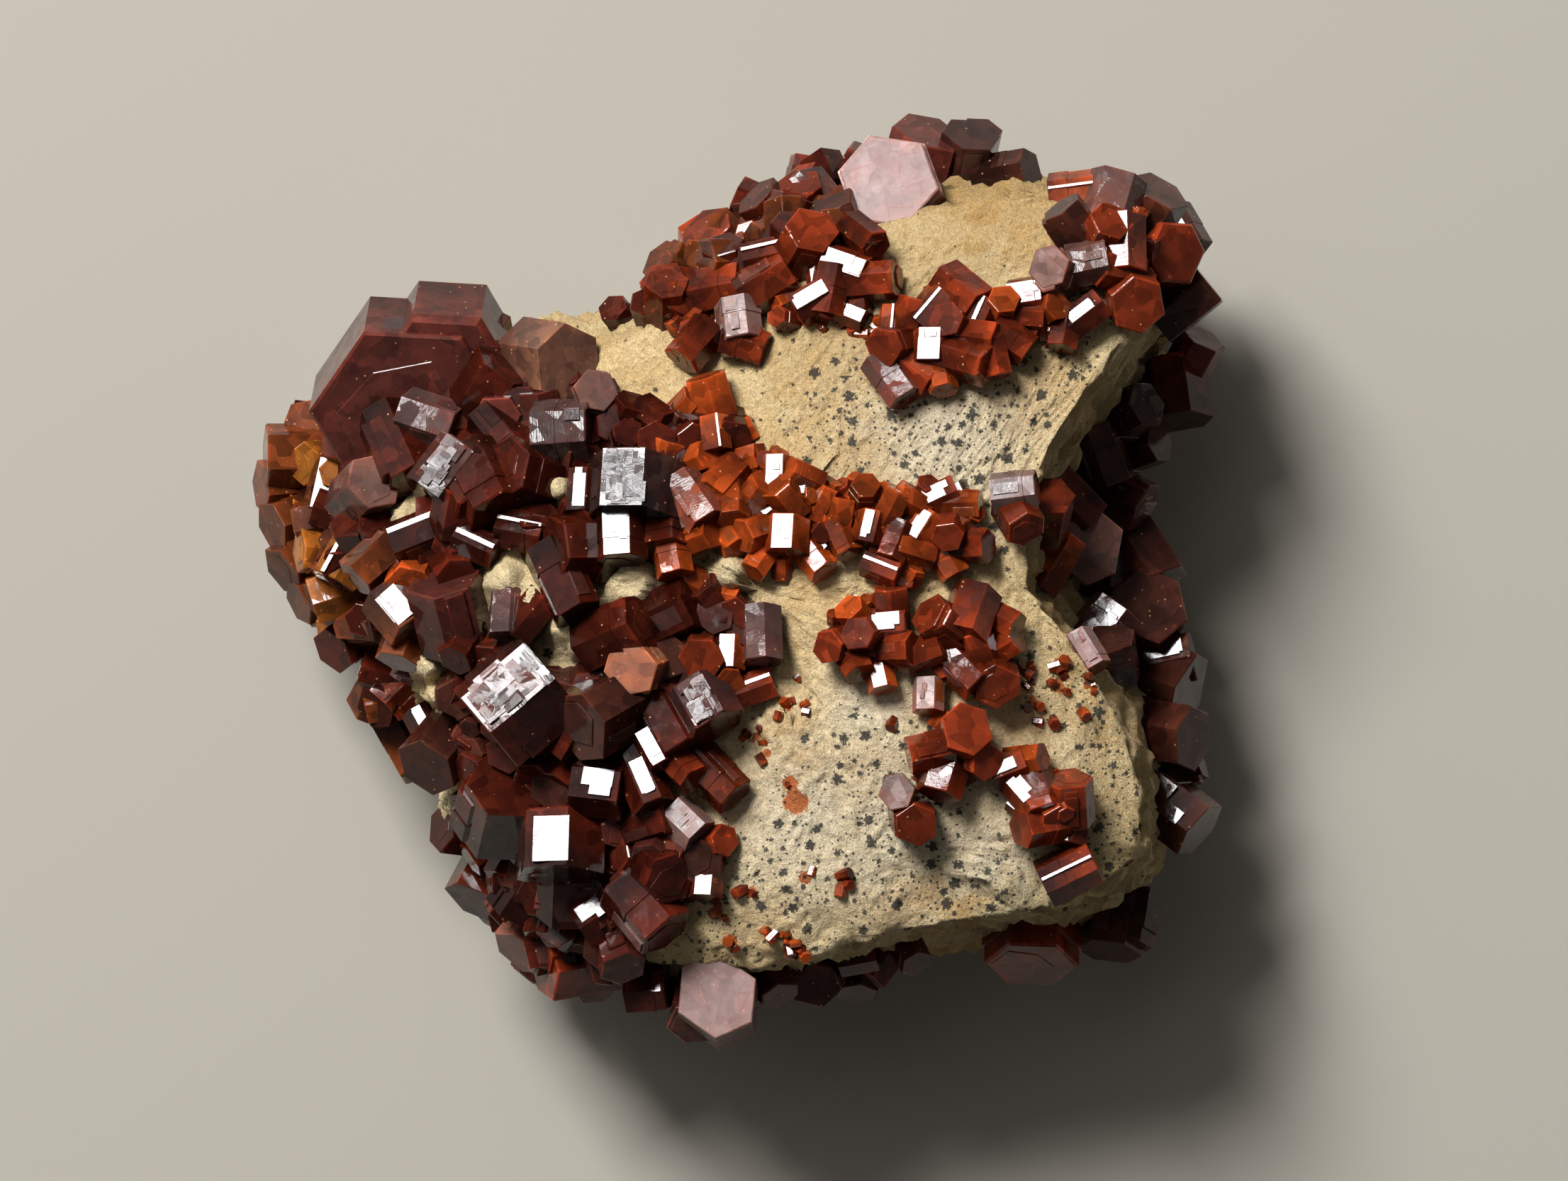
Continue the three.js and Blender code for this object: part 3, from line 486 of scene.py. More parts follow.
def add_crystal(growth, centre, c, face, across, length, tone, surface=None):
    side = c.cross(face)
    axes = Matrix((face, side, c)).transposed()
    turned, dullness, plates, share, tilt, lines = SHINE[surface] if surface else (0, 0, 0, 0, 0, 0)
    body = axes @ Matrix.Rotation(math.radians(turned * chance.choice((-1, 1))), 3, "Z")
    apothems = [across / 2 * chance.uniform(0.9, 1.07) for _ in range(6)]
    apothems[0] = across / 2
    outline = [corner(k, apothems) for k in range(6)]
    dim = chance.uniform(0.6, 1.2)
    frost = TONES[tone][2]
    frosts = (max(frost * 0.4, dullness), frost)
    half = length / 2
    add_prism(growth, centre, body, outline, -half, half, tone, dim, frosts, lines)
    plain = not surface and tone != "mauve"
    if across > SIDE_CRYSTAL_LEAST_MM and plain and chance.random() < SIDE_CRYSTAL_CHANCE:
        add_side_crystal(growth, centre, body, outline, across, half, tone, dim, frosts)
    width = across / math.sqrt(3) * 0.94
    for turn in range(-1, 3):
        if chance.random() < PLATE_CHANCE and not (surface and turn == 0):
            slopes = [math.radians(chance.uniform(-2, 2)) for _ in range(2)]
            spans = random_span(width * 0.9, 0.6), random_span(length * 0.94, 0.6)
            lift = chance.uniform(0.01, 0.04)
            dull = chance.uniform(0, 0.2)
            add_plate(growth, centre, body, turn, apothems[turn % 6], *spans, lift, slopes, tone, dim, dull)
    if tone != "mauve" and chance.random() < TERRACE_CHANCE:
        terrace = [p * chance.uniform(0.5, 0.75) + outline[1] * 0.15 for p in outline]
        end = half + chance.uniform(0.03, 0.08)
        add_prism(growth, centre, body, terrace, half - 0.1, end, tone, dim, frosts)
    for _ in range(plates):
        slopes = [math.radians(chance.uniform(-tilt, tilt)) for _ in range(2)]
        along = 1.5 if surface in ("strip", "banded") else share
        spans = random_span(width, share), random_span(length * 0.96, along)
        lift = chance.uniform(0.02, 0.05) + math.sin(math.radians(turned)) * width * 0.42
        dull = dullness * chance.random()
        add_plate(growth, centre, axes, 0, across / 2, *spans, lift, slopes, tone, dim, dull, lines)


def add_side_crystal(growth, centre, axes, outline, across, half, tone, dim, frosts):
    # A smaller crystal of the same growth, parallel to the first and standing out of one of its sides
    a = chance.uniform(0, 2 * math.pi)
    share = chance.uniform(0.45, 0.7)
    shift = Vector((math.cos(a), math.sin(a))) * across * 0.32
    small = [point * share + shift for point in outline]
    low = -half * chance.uniform(0.5, 1.1)
    add_prism(growth, centre, axes, small, low, half * chance.uniform(0.55, 1.12), tone, dim, frosts)


def half_height(c, across, length):
    upright = abs(c.z)
    return length / 2 * upright + across / 2 * math.sqrt(max(0.0, 1 - upright * upright))


def add_lit(growth, row):
    x, y, across, length, heading, lift, tone, surface = row
    h = math.radians(heading)
    c = Vector((math.cos(h), math.sin(h), 0))
    c = (c - LIT_NORMAL * c.dot(LIT_NORMAL)).normalized()
    centre = Vector((x, y, 0)) - LIT_NORMAL * (across / 2)
    centre.z = ground(centre.x, centre.y) + EXPOSED_SHARE * half_height(c, across, length) + lift
    add_crystal(growth, centre, c, LIT_NORMAL, across, length, tone, surface)


def add_leaning(growth, row):
    x, y, across, length, lean, heading, turn, lift, tone = row
    h = math.radians(heading)
    aside, upright = math.sin(math.radians(lean)), math.cos(math.radians(lean))
    c = Vector((aside * math.cos(h), aside * math.sin(h), upright))
    face = Vector((-upright * math.cos(h), -upright * math.sin(h), aside))
    face.rotate(Matrix.Rotation(math.radians(turn), 3, c))
    z = ground(x, y) + EXPOSED_SHARE * half_height(c, across, length) + lift
    add_crystal(growth, Vector((x, y, z)), c, face, across, length, tone)


def gem_vanadinite():
    # Vanadinite, a lead vanadate, is about 2.35 in refractive index, lowered here to 1.55 because the
    # pale floor and soft light would grey its dark faces. Its faces flash like a gem's. Light goes a
    # millimetre or so into it, which shows as orange red at thin edges, partly by subsurface light and
    # partly as a glow painted into the colour near every face's edges, and dull ends scatter pinkish.
    material, tree, skin = new_material("vanadinite")
    place = add_node(tree, "TexCoord").outputs["Object"]
    tint = add_node(tree, "Attribute", attribute_name="tint")

    def clouds(size_mm, detail, low, high, least=0.0, most=1.0):
        cloud = add_node(tree, "TexNoise", place, 1 / (size_mm * MM), detail, 0.68)
        return add_node(tree, "MapRange", cloud, low, high, least, most)

    def multiplied(first, second):
        return add_node(tree, "Mix", 1.0, first, second, data_type="RGBA", blend_type="MULTIPLY")

    face_share = add_node(tree, "UVMap", uv_map="face_share")
    shares = add_node(tree, "SeparateXYZ", face_share)
    across, along = [add_node(tree, "Math", shares.outputs[k], 0.5, operation="PINGPONG") for k in (0, 1)]
    nearest = add_node(tree, "Math", across, along, operation="MINIMUM")
    # Painted glow: the colour turns lighter and warmer near the edges of every face, standing in for light
    # through thin edges
    painted_edge_glow = add_node(tree, "MapRange", nearest, 0.0, 0.14, 1.0, 0.0)
    painted_glow_clouds = clouds(2.0, 2.0, 0.4, 0.65, 0.05, 0.65)
    painted_glow = add_node(tree, "Math", painted_edge_glow, painted_glow_clouds, operation="MULTIPLY")
    blocks = add_node(tree, "TexVoronoi", place, Scale=1 / (1.0 * MM)).outputs["Color"]
    block_draws = add_node(tree, "SeparateColor", blocks)
    veils = add_node(tree, "MapRange", block_draws, 0.0, 1.0, 0.62, 1.5)
    body = multiplied(tint.outputs["Color"], clouds(2.6, 3.0, 0.32, 0.68, 0.72, 1.3))
    body = multiplied(body, veils)
    # A lighter, warmer copy of the body colour, used for the painted glow and painted glints
    painted_glow_colour = multiplied(body, (1.7, 1.5, 1.2, 1))
    # Sparse pale tan specks: dust on the faces that also stands in for tiny sparkles as painted highlights
    dust_and_sparkle = add_node(tree, "TexVoronoi", place, Scale=1 / (0.55 * MM))
    dust_and_sparkle_draws = add_node(tree, "SeparateColor", dust_and_sparkle.outputs["Color"])
    near = add_node(tree, "Math", dust_and_sparkle.outputs["Distance"], 0.13, operation="LESS_THAN")
    chosen = add_node(tree, "Math", dust_and_sparkle_draws, 0.8, operation="GREATER_THAN")
    grains = add_node(tree, "Math", near, chosen, operation="MULTIPLY")
    frost_clouds = clouds(1.6, 5.0, 0.3, 0.62, 0.5)
    frost = add_node(tree, "Math", tint.outputs["Alpha"], frost_clouds, operation="MULTIPLY")
    cracks = add_node(tree, "TexVoronoi", place, feature="DISTANCE_TO_EDGE", Scale=1 / (1.9 * MM))
    hairline = add_node(tree, "MapRange", cracks, 0.0, 0.035, 0.5, 0.0)
    cracked = add_node(tree, "Math", hairline, frost, operation="MULTIPLY")
    colour = paint_over(tree, body, (
        (painted_glow, 1.0, painted_glow_colour),
        # Small bright orange spots: painted glints inside the crystals
        (clouds(0.45, 2.0, 0.66, 0.74), 0.7, multiplied(painted_glow_colour, (1.9, 1.7, 1.3, 1))),
        (grains, 0.55, "#d59a70"),
        (frost, 0.6, "#9c8480"),
        (cracked, 1.0, "#7a4238"),
    ))
    dull = add_node(tree, "MapRange", frost, 0.0, 1.0, 0.06, 0.5)
    smeared = add_node(tree, "Math", clouds(0.9, 4.0, 0.45, 0.75), 0.16, dull, operation="MULTIPLY_ADD")

    # Each millimetre of a face is tipped a little its own way, and lit faces have growth lines and pits
    depth = add_node(tree, "Attribute", attribute_name="growth_lines").outputs["Fac"]
    centred = add_node(tree, "VectorMath", blocks, (0.5, 0.5, 0.5), operation="SUBTRACT")
    tip_by = add_node(tree, "Math", depth, 0.3, 0.05, operation="MULTIPLY_ADD")
    tip = add_node(tree, "VectorMath", centred, tip_by, operation="SCALE")
    surface = add_node(tree, "NewGeometry").outputs["Normal"]
    tipped = add_node(tree, "VectorMath", surface, tip, operation="ADD")
    facet = add_node(tree, "VectorMath", tipped, operation="NORMALIZE")
    lines = add_node(tree, "Mapping", face_share, Scale=(7.0, 90.0, 1.0))
    striae = add_node(tree, "TexNoise", lines, 0.35, 3.0)
    strength = add_node(tree, "Math", depth, 0.8, 0.06, operation="MULTIPLY_ADD")
    ribbed = add_node(tree, "Bump", Strength=strength, Distance=0.05 * MM, Height=striae, Normal=facet)
    pits = add_node(tree, "TexNoise", place, 1 / (0.3 * MM), 3.0, 0.7)
    pitted = add_node(tree, "Bump", Strength=0.1, Distance=0.05 * MM, Height=pits, Normal=ribbed)
    fill_sockets(tree, skin, {
        "Base Color": colour, "Roughness": smeared, "IOR": 1.55, "Specular IOR Level": 0.22,
        "Subsurface Weight": 0.5, "Subsurface Radius": (0.8, 0.22, 0.1), "Subsurface Scale": 1.0 * MM,
        "Normal": pitted,
    })
    return material


vanadinite = gem_vanadinite()


def finish_crystals(name, growth, node):
    mesh = bpy.data.meshes.new(name)
    mesh.from_pydata([p * MM for p in growth.corners], [], growth.faces)
    tint = mesh.attributes.new("tint", "FLOAT_COLOR", "CORNER")
    tint.data.foreach_set("color", [value for colour in growth.colours for value in colour])
    lines = mesh.attributes.new("growth_lines", "FLOAT", "CORNER")
    lines.data.foreach_set("value", growth.lines)
    layer = mesh.uv_layers.new(name="face_share")
    layer.data.foreach_set("uv", [value for place in growth.places for value in place])
    mesh.materials.append(vanadinite)
    piece = bpy.data.objects.new(name, mesh)
    bpy.context.scene.collection.objects.link(piece)
    worn = piece.modifiers.new("edge_wear", "BEVEL")
    worn.width = EDGE_WEAR_MM * MM
    worn.segments = 1
    worn.limit_method = "ANGLE"
    worn.angle_limit = math.radians(25)
    if node:
        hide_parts(node)
    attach(piece, "root")


def grow_crystals(name, usual_tone=None, in_cad=True, lit=(), leaning=()):
    # Lit rows: place, width across flats, length, heading, lift, tone and way of shining. Leaning rows:
    # place, width, length, lean, heading, turn, lift, and a tone where it isn't the group's usual one.
    growth = Growth()
    for row in lit:
        add_lit(growth, row)
    for row in leaning:
        add_leaning(growth, row if isinstance(row[-1], str) else (*row, usual_tone))
    finish_crystals(name, growth, name if in_cad else None)


grow_crystals("upper_left_druse", "maroon", lit=[
    (-22.6, 11.6, 3.2, 4.2, -22, 2.6, "maroon", "grey"),
    (-29.9, 6.6, 3.6, 3.8, -98, 2.2, "russet", "mirror"),
    (-28.6, 2.3, 3.4, 5.2, 245, 2, "amber", "strip"),
    (-21.3, 7.9, 4, 4.2, 55, 2.4, "maroon", "broken"),
    (-13.2, 10.9, 4.4, 4, 0, 1.2, "grey", "striated"),
], leaning=[
    (-23.6, 12.9, 12.4, 6, 27, -96, 3, 0.8, "wine"),
    (-24.7, 9.2, 3.5, 6, 62, -65, 12, 3),
    (-28.4, 11.6, 4.2, 4.6, 46, 190, 0, 0.4, "russet"),
    (-31.3, 8.6, 4.2, 6.6, 82, 180, 8, 2, "russet"),
    (-27.1, 6, 3.8, 5, 28, 40, 5, 2.2, "rose"),
    (-32, 4.2, 3.9, 5, 62, 200, 20, 1, "russet"),
    (-18.4, 6.5, 4.2, 5.4, 58, -62, 6, 1),
    (-14, 15.2, 5.2, 5, 38, -10, 18, 1.2, "tan"),
    (-18.3, 16, 3.8, 5, 58, 100, 5, 0.6),
    (-18.2, 13, 4.4, 5.2, 67, 55, 2, 0.2),
    (-15.4, 7, 4.6, 5, 44, 160, 10, 0.2),
])
grow_crystals("central_left_druse", "maroon", lit=[
    (-8.5, 7, 6.2, 4.3, 90, 1.4, "grey", "mosaic"),
    (-9.1, 3.1, 3.7, 3.4, -85, 1.6, "maroon", "mirror"),
    (-4, 5.6, 3.2, 4, -55, 1.2, "orange", "striated"),
    (-16.7, -7.8, 7.3, 6, 221, 2, "maroon", "mosaic"),
    (-10.5, -14.4, 4, 3.6, -10, 1.8, "maroon", "patch"),
    (-13.5, -18.3, 5.8, 4.4, 92, 2.4, "maroon", "chipped"),
    (-10.6, -23.6, 3.4, 3.4, 35, 1.6, "maroon", "patch"),
], leaning=[
    (-11.3, 2, 4.6, 5, 61, -179, 15, 0.4),
    (-5.8, 3.6, 3.6, 4.4, 60, -85, 12, 0.4),
    (-12.7, -0.4, 3.6, 5.6, 68, -65, 17, 1),
    (-9.2, -4, 4.1, 4.8, 62, 24, 22, 0.8),
    (-7.3, -6.4, 3.7, 4.2, 20, 200, 22, 1, "cream"),
    (-5.1, -2.8, 3.7, 4, 67, 25, 7, 0.6),
    (-9.8, -9.6, 5.2, 5.2, 52, -150, 14, 0.8, "brown"),
    (-13, -10.6, 3.6, 4.4, 69, -40, 24, 0.8),
    (-17, -16.2, 5.6, 6, 34, 75, 16, 0.6),
    (-12.8, -22.2, 3.6, 4.6, 61, 87, 6, 1),
    (-6.9, -23.5, 4.3, 4.8, 70, -50, 5, 1),
    (-6.2, -20.6, 3.6, 4.6, 32, -35, 17, 0.6),
    (-8.9, -26.2, 3.2, 4.6, 48, -76, 14, 0.8, "wine"),
])
grow_crystals("left_edge_barrels", "russet", lit=[
    (-24.7, -1.9, 3.9, 3.6, -50, 1.6, "russet", "chipped"),
], leaning=[
    (-26, 1.2, 3.2, 4.6, 73, -138, 4, 1.2),
    (-23.2, 0.4, 3.2, 4.4, 36, 250, 9, 0.4, "orange"),
    (-20.6, -2.6, 5, 5.4, 64, 104, 8, 0.8, "wine"),
    (-24, -4.2, 3.2, 4.4, 71, -108, 20, 0.2),
])
grow_crystals("far_left_barrels", "russet", leaning=[
    (-28.2, -0.8, 4.4, 5.2, 60, 218, 16, 0.6),
    (-27, -3.7, 3.4, 4.2, 74, 198, 12, 0.6),
])
grow_crystals("left_frosty_barrel", "brown", leaning=[
    (-21.5, -12.2, 4.2, 5, 48, 230, 11, 1.2),
])
grow_crystals("left_lower_barrel", "russet", leaning=[
    (-24.2, -12, 3.5, 4.8, 70, -60, 28, 0.4),
])
grow_crystals("left_red_square_crystal", "brick", leaning=[
    (-24.8, -8, 3.3, 3.8, 80, 226, 24, 0.6),
])
grow_crystals("hopper_crystal", lit=[
    (-3.1, -8.6, 4.2, 3.6, -60, 1.2, "maroon", "broken"),
])
grow_crystals("lower_left_hexagons", "maroon", leaning=[
    (-19.8, -18.3, 3.2, 4.6, 58, 172, 8, 0.4),
    (-18.2, -21.5, 4.4, 5.2, 65, -118, 14, 0.4),
])
grow_crystals("lower_left_bowl_crystals", "rose", leaning=[
    (-14.8, -25.4, 4, 5, 62, -130, 0, 1.2),
    (-12, -27.3, 5.4, 5.4, 69, -171, 14, 0.4, "brick"),
])
grow_crystals("left_small_crystals", "orange", in_cad=False, lit=[
    (-23.5, 3.3, 2.8, 3.6, 20, 1.6, "maroon", "strip"),
    (-19, 2.6, 2.4, 3.2, -28, 1, "maroon", "strip"),
    (-24, -6, 2, 2.6, 70, 0.8, "rose", "grey"),
    (-22.9, -10.5, 2.4, 3, -60, 1.2, "maroon", "patch"),
    (-11.6, 6.2, 2.4, 3.2, 90, 1, "maroon", "patch"),
    (-2.3, 10.2, 2.2, 2.6, 100, 0.8, "orange", "strip"),
    (-15.9, 3.6, 3, 3.4, -15, 0.8, "maroon", "strip"),
    (-17, -2.3, 2.4, 3.4, 90, 1, "maroon", "grey"),
    (-1.2, -5.2, 2, 2.4, 90, 1, "orange", "mirror"),
    (-7.5, -13.9, 2.9, 4.6, -65, 1.6, "maroon", "patch"),
    (-6.6, -12, 2, 2.8, -60, 1.8, "maroon", "mirror"),
    (-4.4, -17.2, 2.9, 2.8, -45, 0.8, "rose", "frosty"),
    (1, -3.8, 2.7, 4, -85, 0.6, "brown", "grey"),
    (0.4, -7.6, 2.2, 3.2, 18, 0.4, "brick", "strip"),
    (-2.8, -20.9, 2.2, 3.2, 88, 0.6, "brick", "mirror"),
], leaning=[
    (-31.2, 10.9, 2.8, 4, 20, 150, 10, 1, "russet"),
    (-20.6, 4.7, 2.8, 3.8, 66, 79, 12, 0.8, "maroon"),
    (-20.9, 0.8, 2.9, 4.2, 34, -60, 25, 0.6, "maroon"),
    (-19.8, -4.9, 2.6, 3.4, 51, -120, 4, 1, "maroon"),
    (-10.8, 12.6, 3, 3.6, 20, 60, 20, 0.4, "rose"),
    (-17.4, 10, 3, 4, 62, -50, 2, 1.2, "maroon"),
    (-8.4, 9.4, 2.2, 3, 30, 70, 0, 0.8, "maroon"),
    (-5.2, 1.6, 2.6, 3.6, 70, -80, 14, 0.8),
    (-5.5, 8.2, 2.3, 3, 77, 74, 26, 0.4),
    (-3.5, 8.2, 2.2, 3, 45, 20, 21, 0.4),
    (-6.3, 11.3, 2.1, 2.8, 55, -35, 9, 0.4, "maroon"),
    (-8.4, 11.2, 2.4, 3, 59, 68, 15, 0.3, "maroon"),
    (-4.4, 11.6, 2, 3, 66, 45, 1, 0.2),
    (-2.3, 12.5, 3, 3.4, 82, 108, 28, 0.4),
    (-0.4, 10, 1.8, 2.6, 84, 28, 26, 0.2),
    (-0.2, 8, 1.9, 2.6, 75, 16, 12, 0.2),
    (-1.4, 6.8, 2.5, 3, 67, -131, 7, 0.4),
    (-0.8, 5, 2.3, 3, 50, -90, 13, 0.3),
    (0.8, 5.6, 2.3, 2.8, 61, 53, 16, 0.3),
    (-1.1, 2.9, 2, 3, 55, -60, 9, 0.2),
    (-3.5, 2.6, 2.4, 3.4, 55, 20, 23, 0.4),
    (-15, -2.9, 2.8, 3.6, 86, 50, 20, 0.4, "maroon"),
    (-3.2, -0.6, 1.9, 2.6, 84, 152, 13, 0.4),
    (-1.6, -1.6, 1.8, 2.6, 75, -8, 11, 0.3),
    (-2.9, -5.4, 2.8, 3.6, 16, -100, 8, 0.8, "brick"),
    (-1.3, -7, 2.1, 2.8, 27, -60, 24, 0.4),
    (-5.4, -10.4, 3, 4.8, 68, -60, 9, 0.8, "maroon"),
    (-4.6, -13.4, 2.4, 3.4, 60, -45, 20, 0.8, "brick"),
    (-2, -14.2, 3, 4.2, 72, -45, 10, 0.3, "brick"),
    (-6.4, -17.4, 2.8, 4, 50, 20, 2, 0.4, "maroon"),
    (-15.8, -22.4, 3, 4, 68, 56, 17, 1, "maroon"),
    (-2.2, -18.8, 2.2, 3, 36, 10, 6, 0.2, "brick"),
    (-4.6, -19.4, 2.4, 3.2, 30, 140, 12, 0.4, "brick"),
    (1.2, 1.2, 1.9, 2.6, 65, -124, 27, 0.2),
    (-31.6, 1.5, 3.8, 4.8, 62, 215, 10, 1, "russet"),
    (-30.4, -1, 3.4, 4.6, 66, 205, 5, 0.8, "russet"),
    (-33, 6.6, 3.4, 4.2, 70, 185, 12, 1.2, "russet"),
])

# Bottom edge. A pinkish hexagonal tablet and dark crystals hang below the front edge of the plate,
# grown on the broken side of the rock.
grow_crystals("bottom_pink_hexagon_group", "wine", lit=[
    (-7.2, -28.9, 3.2, 3, 0, 9.4, "wine", "patch"),
], leaning=[
    (-1.9, -30.3, 5.6, 6.6, 10, 100, 15, 11.3, "mauve"),
    (-3.4, -30.4, 3.6, 4.4, 46, -100, 20, 10.5),
    (-4.4, -28.9, 2.6, 3.8, 79, -162, 10, 2.4),
    (1.7, -28.6, 2.8, 4, 55, -60, 12, 1.4),
])
grow_crystals("bottom_edge_hexagon", "wine", leaning=[
    (5.3, -28.4, 3.7, 4, 30, -110, 8, 1),
])
grow_crystals("bottom_red_tablets", "brick", leaning=[
    (20.5, -26.6, 6.4, 3.4, 58, -92, 0, 1.6),
    (26.6, -25, 4.8, 4.6, 70, -100, 10, 1, "brown"),
])
grow_crystals("bottom_small_crystals", "wine", in_cad=False, lit=[
    (7.9, -27, 2.2, 2.8, 8, 1.6, "wine", "strip"),
], leaning=[
    (9.9, -27.4, 2.6, 3.6, 79, -127, 19, 1.2),
    (11.6, -26.6, 2.3, 3.4, 52, -60, 4, 1.4),
    (8.2, -28.4, 3, 4, 60, -90, 20, 0.2),
])

# Top edge. Brick red crystals climb the upper left edge to the large pinkish crown hexagon,
# with dark barrels behind it.
grow_crystals("crown_pink_hexagon_group", "brick", leaning=[
    (1.6, 20.6, 3.2, 4, 86, 32, 3, 0.8),
    (4.2, 23.4, 3.6, 4.2, 37, 60, 24, 1),
    (6.3, 25.2, 3.4, 4.2, 76, 20, 3, 1.4, "brown"),
    (10.4, 27.7, 6.5, 3.2, 13, 120, 20, 4, "mauve"),
])
grow_crystals("top_lit_barrel", lit=[
    (4.4, 27.4, 3.8, 3.4, -52, 2.8, "wine", "banded"),
])
grow_crystals("top_edge_barrels", "wine", leaning=[
    (12.6, 29.6, 5, 5.4, 63, 74, 14, 1.6),
    (8.2, 28.2, 4, 5, 69, 61, 28, 0.6),
    (15.8, 29.6, 3.8, 5.2, 55, 78, 17, 1.8, "grey"),
])
grow_crystals("upper_edge_barrel", "brick", leaning=[
    (-1.6, 23.4, 3.9, 4.8, 55, 130, 10, 1.4),
])
grow_crystals("upper_edge_small_barrel", "brick", leaning=[
    (-4.1, 20.4, 3.6, 4.4, 79, 170, 25, 1),
])
grow_crystals("top_small_crystals", "brick", in_cad=False, lit=[
    (-0.7, 18.4, 3, 3, -80, 1.2, "rose", "frosty"),
    (1.3, 23.1, 2.6, 3.2, 10, 1.8, "brick", "strip"),
    (6.9, 22.1, 2.4, 3.2, -23, 0.8, "brick", "mirror"),
    (4.6, 19.8, 2.2, 2.8, 30, 0.8, "brick", "patch"),
], leaning=[
    (-6.4, 18.7, 2.6, 3.4, 39, 110, 6, 0.4, "maroon"),
    (-8.8, 18.4, 2.2, 3, 44, 130, 12, 0.4, "maroon"),
    (-3.4, 16.4, 2.8, 3.4, 72, -130, 4, 0.6),
    (0.1, 16.4, 2.5, 3.2, 77, -18, 21, 0.4),
    (-1.9, 20.4, 3, 3.8, 71, 11, 19, 1.2),
    (1.2, 25.2, 3, 4.2, 83, 105, 9, 1.2, "brown"),
    (8.4, 24, 2.4, 3.4, 47, -40, 8, 1.2),
    (9, 20.8, 2.6, 3.6, 74, 4, 12, 0.6),
    (6, 20.2, 2.6, 3.6, 83, -101, 21, 0.6),
])

# Upper plate and upper right corner. A small brick red cluster sits on the upper plate,
# and taller barrels crowd the corner.
grow_crystals("upper_plate_cluster", "brick", lit=[
    (13.2, 19, 2.8, 3, 52, 0.4, "brick", "strip"),
    (13, 16.4, 2.6, 2.4, 90, 0.9, "brick", "mirror"),
    (10.1, 14.2, 2.5, 3.8, -55, 0.3, "brick", "grey"),
], leaning=[
    (15.4, 20, 2.9, 3.8, 62, -40, 14, 0.5),
    (14.8, 17.7, 2.5, 3.2, 28, 150, 8, 0.7),
    (16.4, 16.8, 2.4, 3.2, 67, -8, 30, 0.8),
    (12, 14.5, 2.5, 3.2, 78, -35, 27, 0.2),
    (10.6, 16.2, 2.8, 3.4, 28, 190, 13, 0.4),
    (15.6, 15.2, 3, 3.6, 64, -17, 9, 0.5),
])
grow_crystals("upper_plate_lit_tablet", lit=[
    (19.7, 20.1, 2.6, 2.4, 6, 0.6, "brick", "mirror"),
])
grow_crystals("upper_right_barrels", "brick", lit=[
    (25.7, 26.6, 3.6, 5, -103, 2, "rose", "grey"),
], leaning=[
    (28.4, 25.4, 4.2, 5.2, 65, 58, 8, 1.2, "brown"),
    (29.4, 22.8, 4.6, 4.8, 35, 10, 20, 0.8),
    (26.7, 23.3, 3.2, 4.2, 72, -89, 16, 1),
    (27.5, 19.8, 4, 4, 22, -60, 12, 0.8),
])
grow_crystals("upper_right_brown_crystal", "brown", leaning=[
    (31, 19.9, 4.2, 4.8, 86, 39, 26, 1.6),
])
grow_crystals("upper_right_small_crystals", "brick", in_cad=False, lit=[
    (10.2, 17.9, 2, 2.8, 88, 0.4, "orange", "strip"),
    (16.4, 18.6, 2.2, 2.6, 70, 0.8, "brick", "strip"),
    (23.8, 18.7, 2.3, 3.2, 38, 0.6, "brick", "patch"),
    (23.2, 27.7, 2.8, 3.4, 4, 1.6, "orange", "strip"),
    (24.1, 22.5, 2.8, 3, 10, 1.2, "rose", "striated"),
    (31.2, 25.2, 3, 3.6, -60, 1.6, "brown", "patch"),
], leaning=[
    (18.7, 28.9, 3, 4.2, 60, 9, 12, 1.4, "brown"),
    (11.6, 18.2, 2.3, 3, 86, 75, 10, 0.5),
    (20.2, 18.3, 2.2, 2.8, 68, -6, 9, 0.3),
    (18.2, 18.9, 2.1, 3, 26, 80, 18, 0.6, "orange"),
    (13.9, 14.2, 2, 2.8, 60, -80, 9, 0.2, "orange"),
    (17.5, 15.4, 2.3, 3, 82, -78, 25, 0.4),
    (18.9, 16.7, 2.3, 3, 84, -35, 5, 0.4),
    (22.6, 17.3, 2.2, 2.8, 73, -101, 24, 0.3),
    (21.4, 18.6, 2, 2.8, 37, 30, 15, 0.3, "orange"),
    (22, 21.4, 3, 3.4, 25, 150, 14, 0.6, "rose"),
    (23.4, 24.6, 2.8, 3.8, 73, 126, 19, 1.2, "brown"),
    (26.4, 21.6, 2.6, 3.4, 60, 170, 9, 0.8),
    (25.4, 24, 3, 4, 39, 60, 18, 1),
])

# Middle ridge. A band of small orange-red crystals crosses the front between the two plates.
grow_crystals("ridge_west_cluster", "orange", lit=[
    (2.7, 3.2, 2.9, 2.6, 90, 0.7, "orange", "mirror"),
], leaning=[
    (1, 3.2, 2.3, 3, 55, 200, 11, 0.2),
    (4.9, 1.2, 2.1, 2.6, 66, -52, 1, 0.2),
])
grow_crystals("ridge_middle_cluster", "orange", lit=[
    (8.6, 3.6, 1.9, 2.4, 80, 0.3, "orange", "patch"),
], leaning=[
    (8.4, 5.6, 2.1, 2.8, 34, 80, 12, 0.2),
    (10.4, 4.8, 2, 2.6, 81, 63, 29, 0.2),
    (6.9, 4.2, 2.1, 2.6, 83, 80, 6, 0.2),
])
grow_crystals("ridge_east_cluster", "brick", lit=[
    (13.6, 5.9, 2.2, 2.6, 24, 0.4, "brick", "patch"),
    (12.4, 3.7, 2, 2.4, 60, 0.4, "orange", "patch"),
], leaning=[
    (15.3, 5, 2.1, 2.8, 77, 2, 24, 0.2, "orange"),
    (14.4, 3.2, 2.2, 2.8, 25, -100, 20, 0.3),
    (16, 2.1, 2.2, 2.8, 60, 0, 6, 0.2),
])
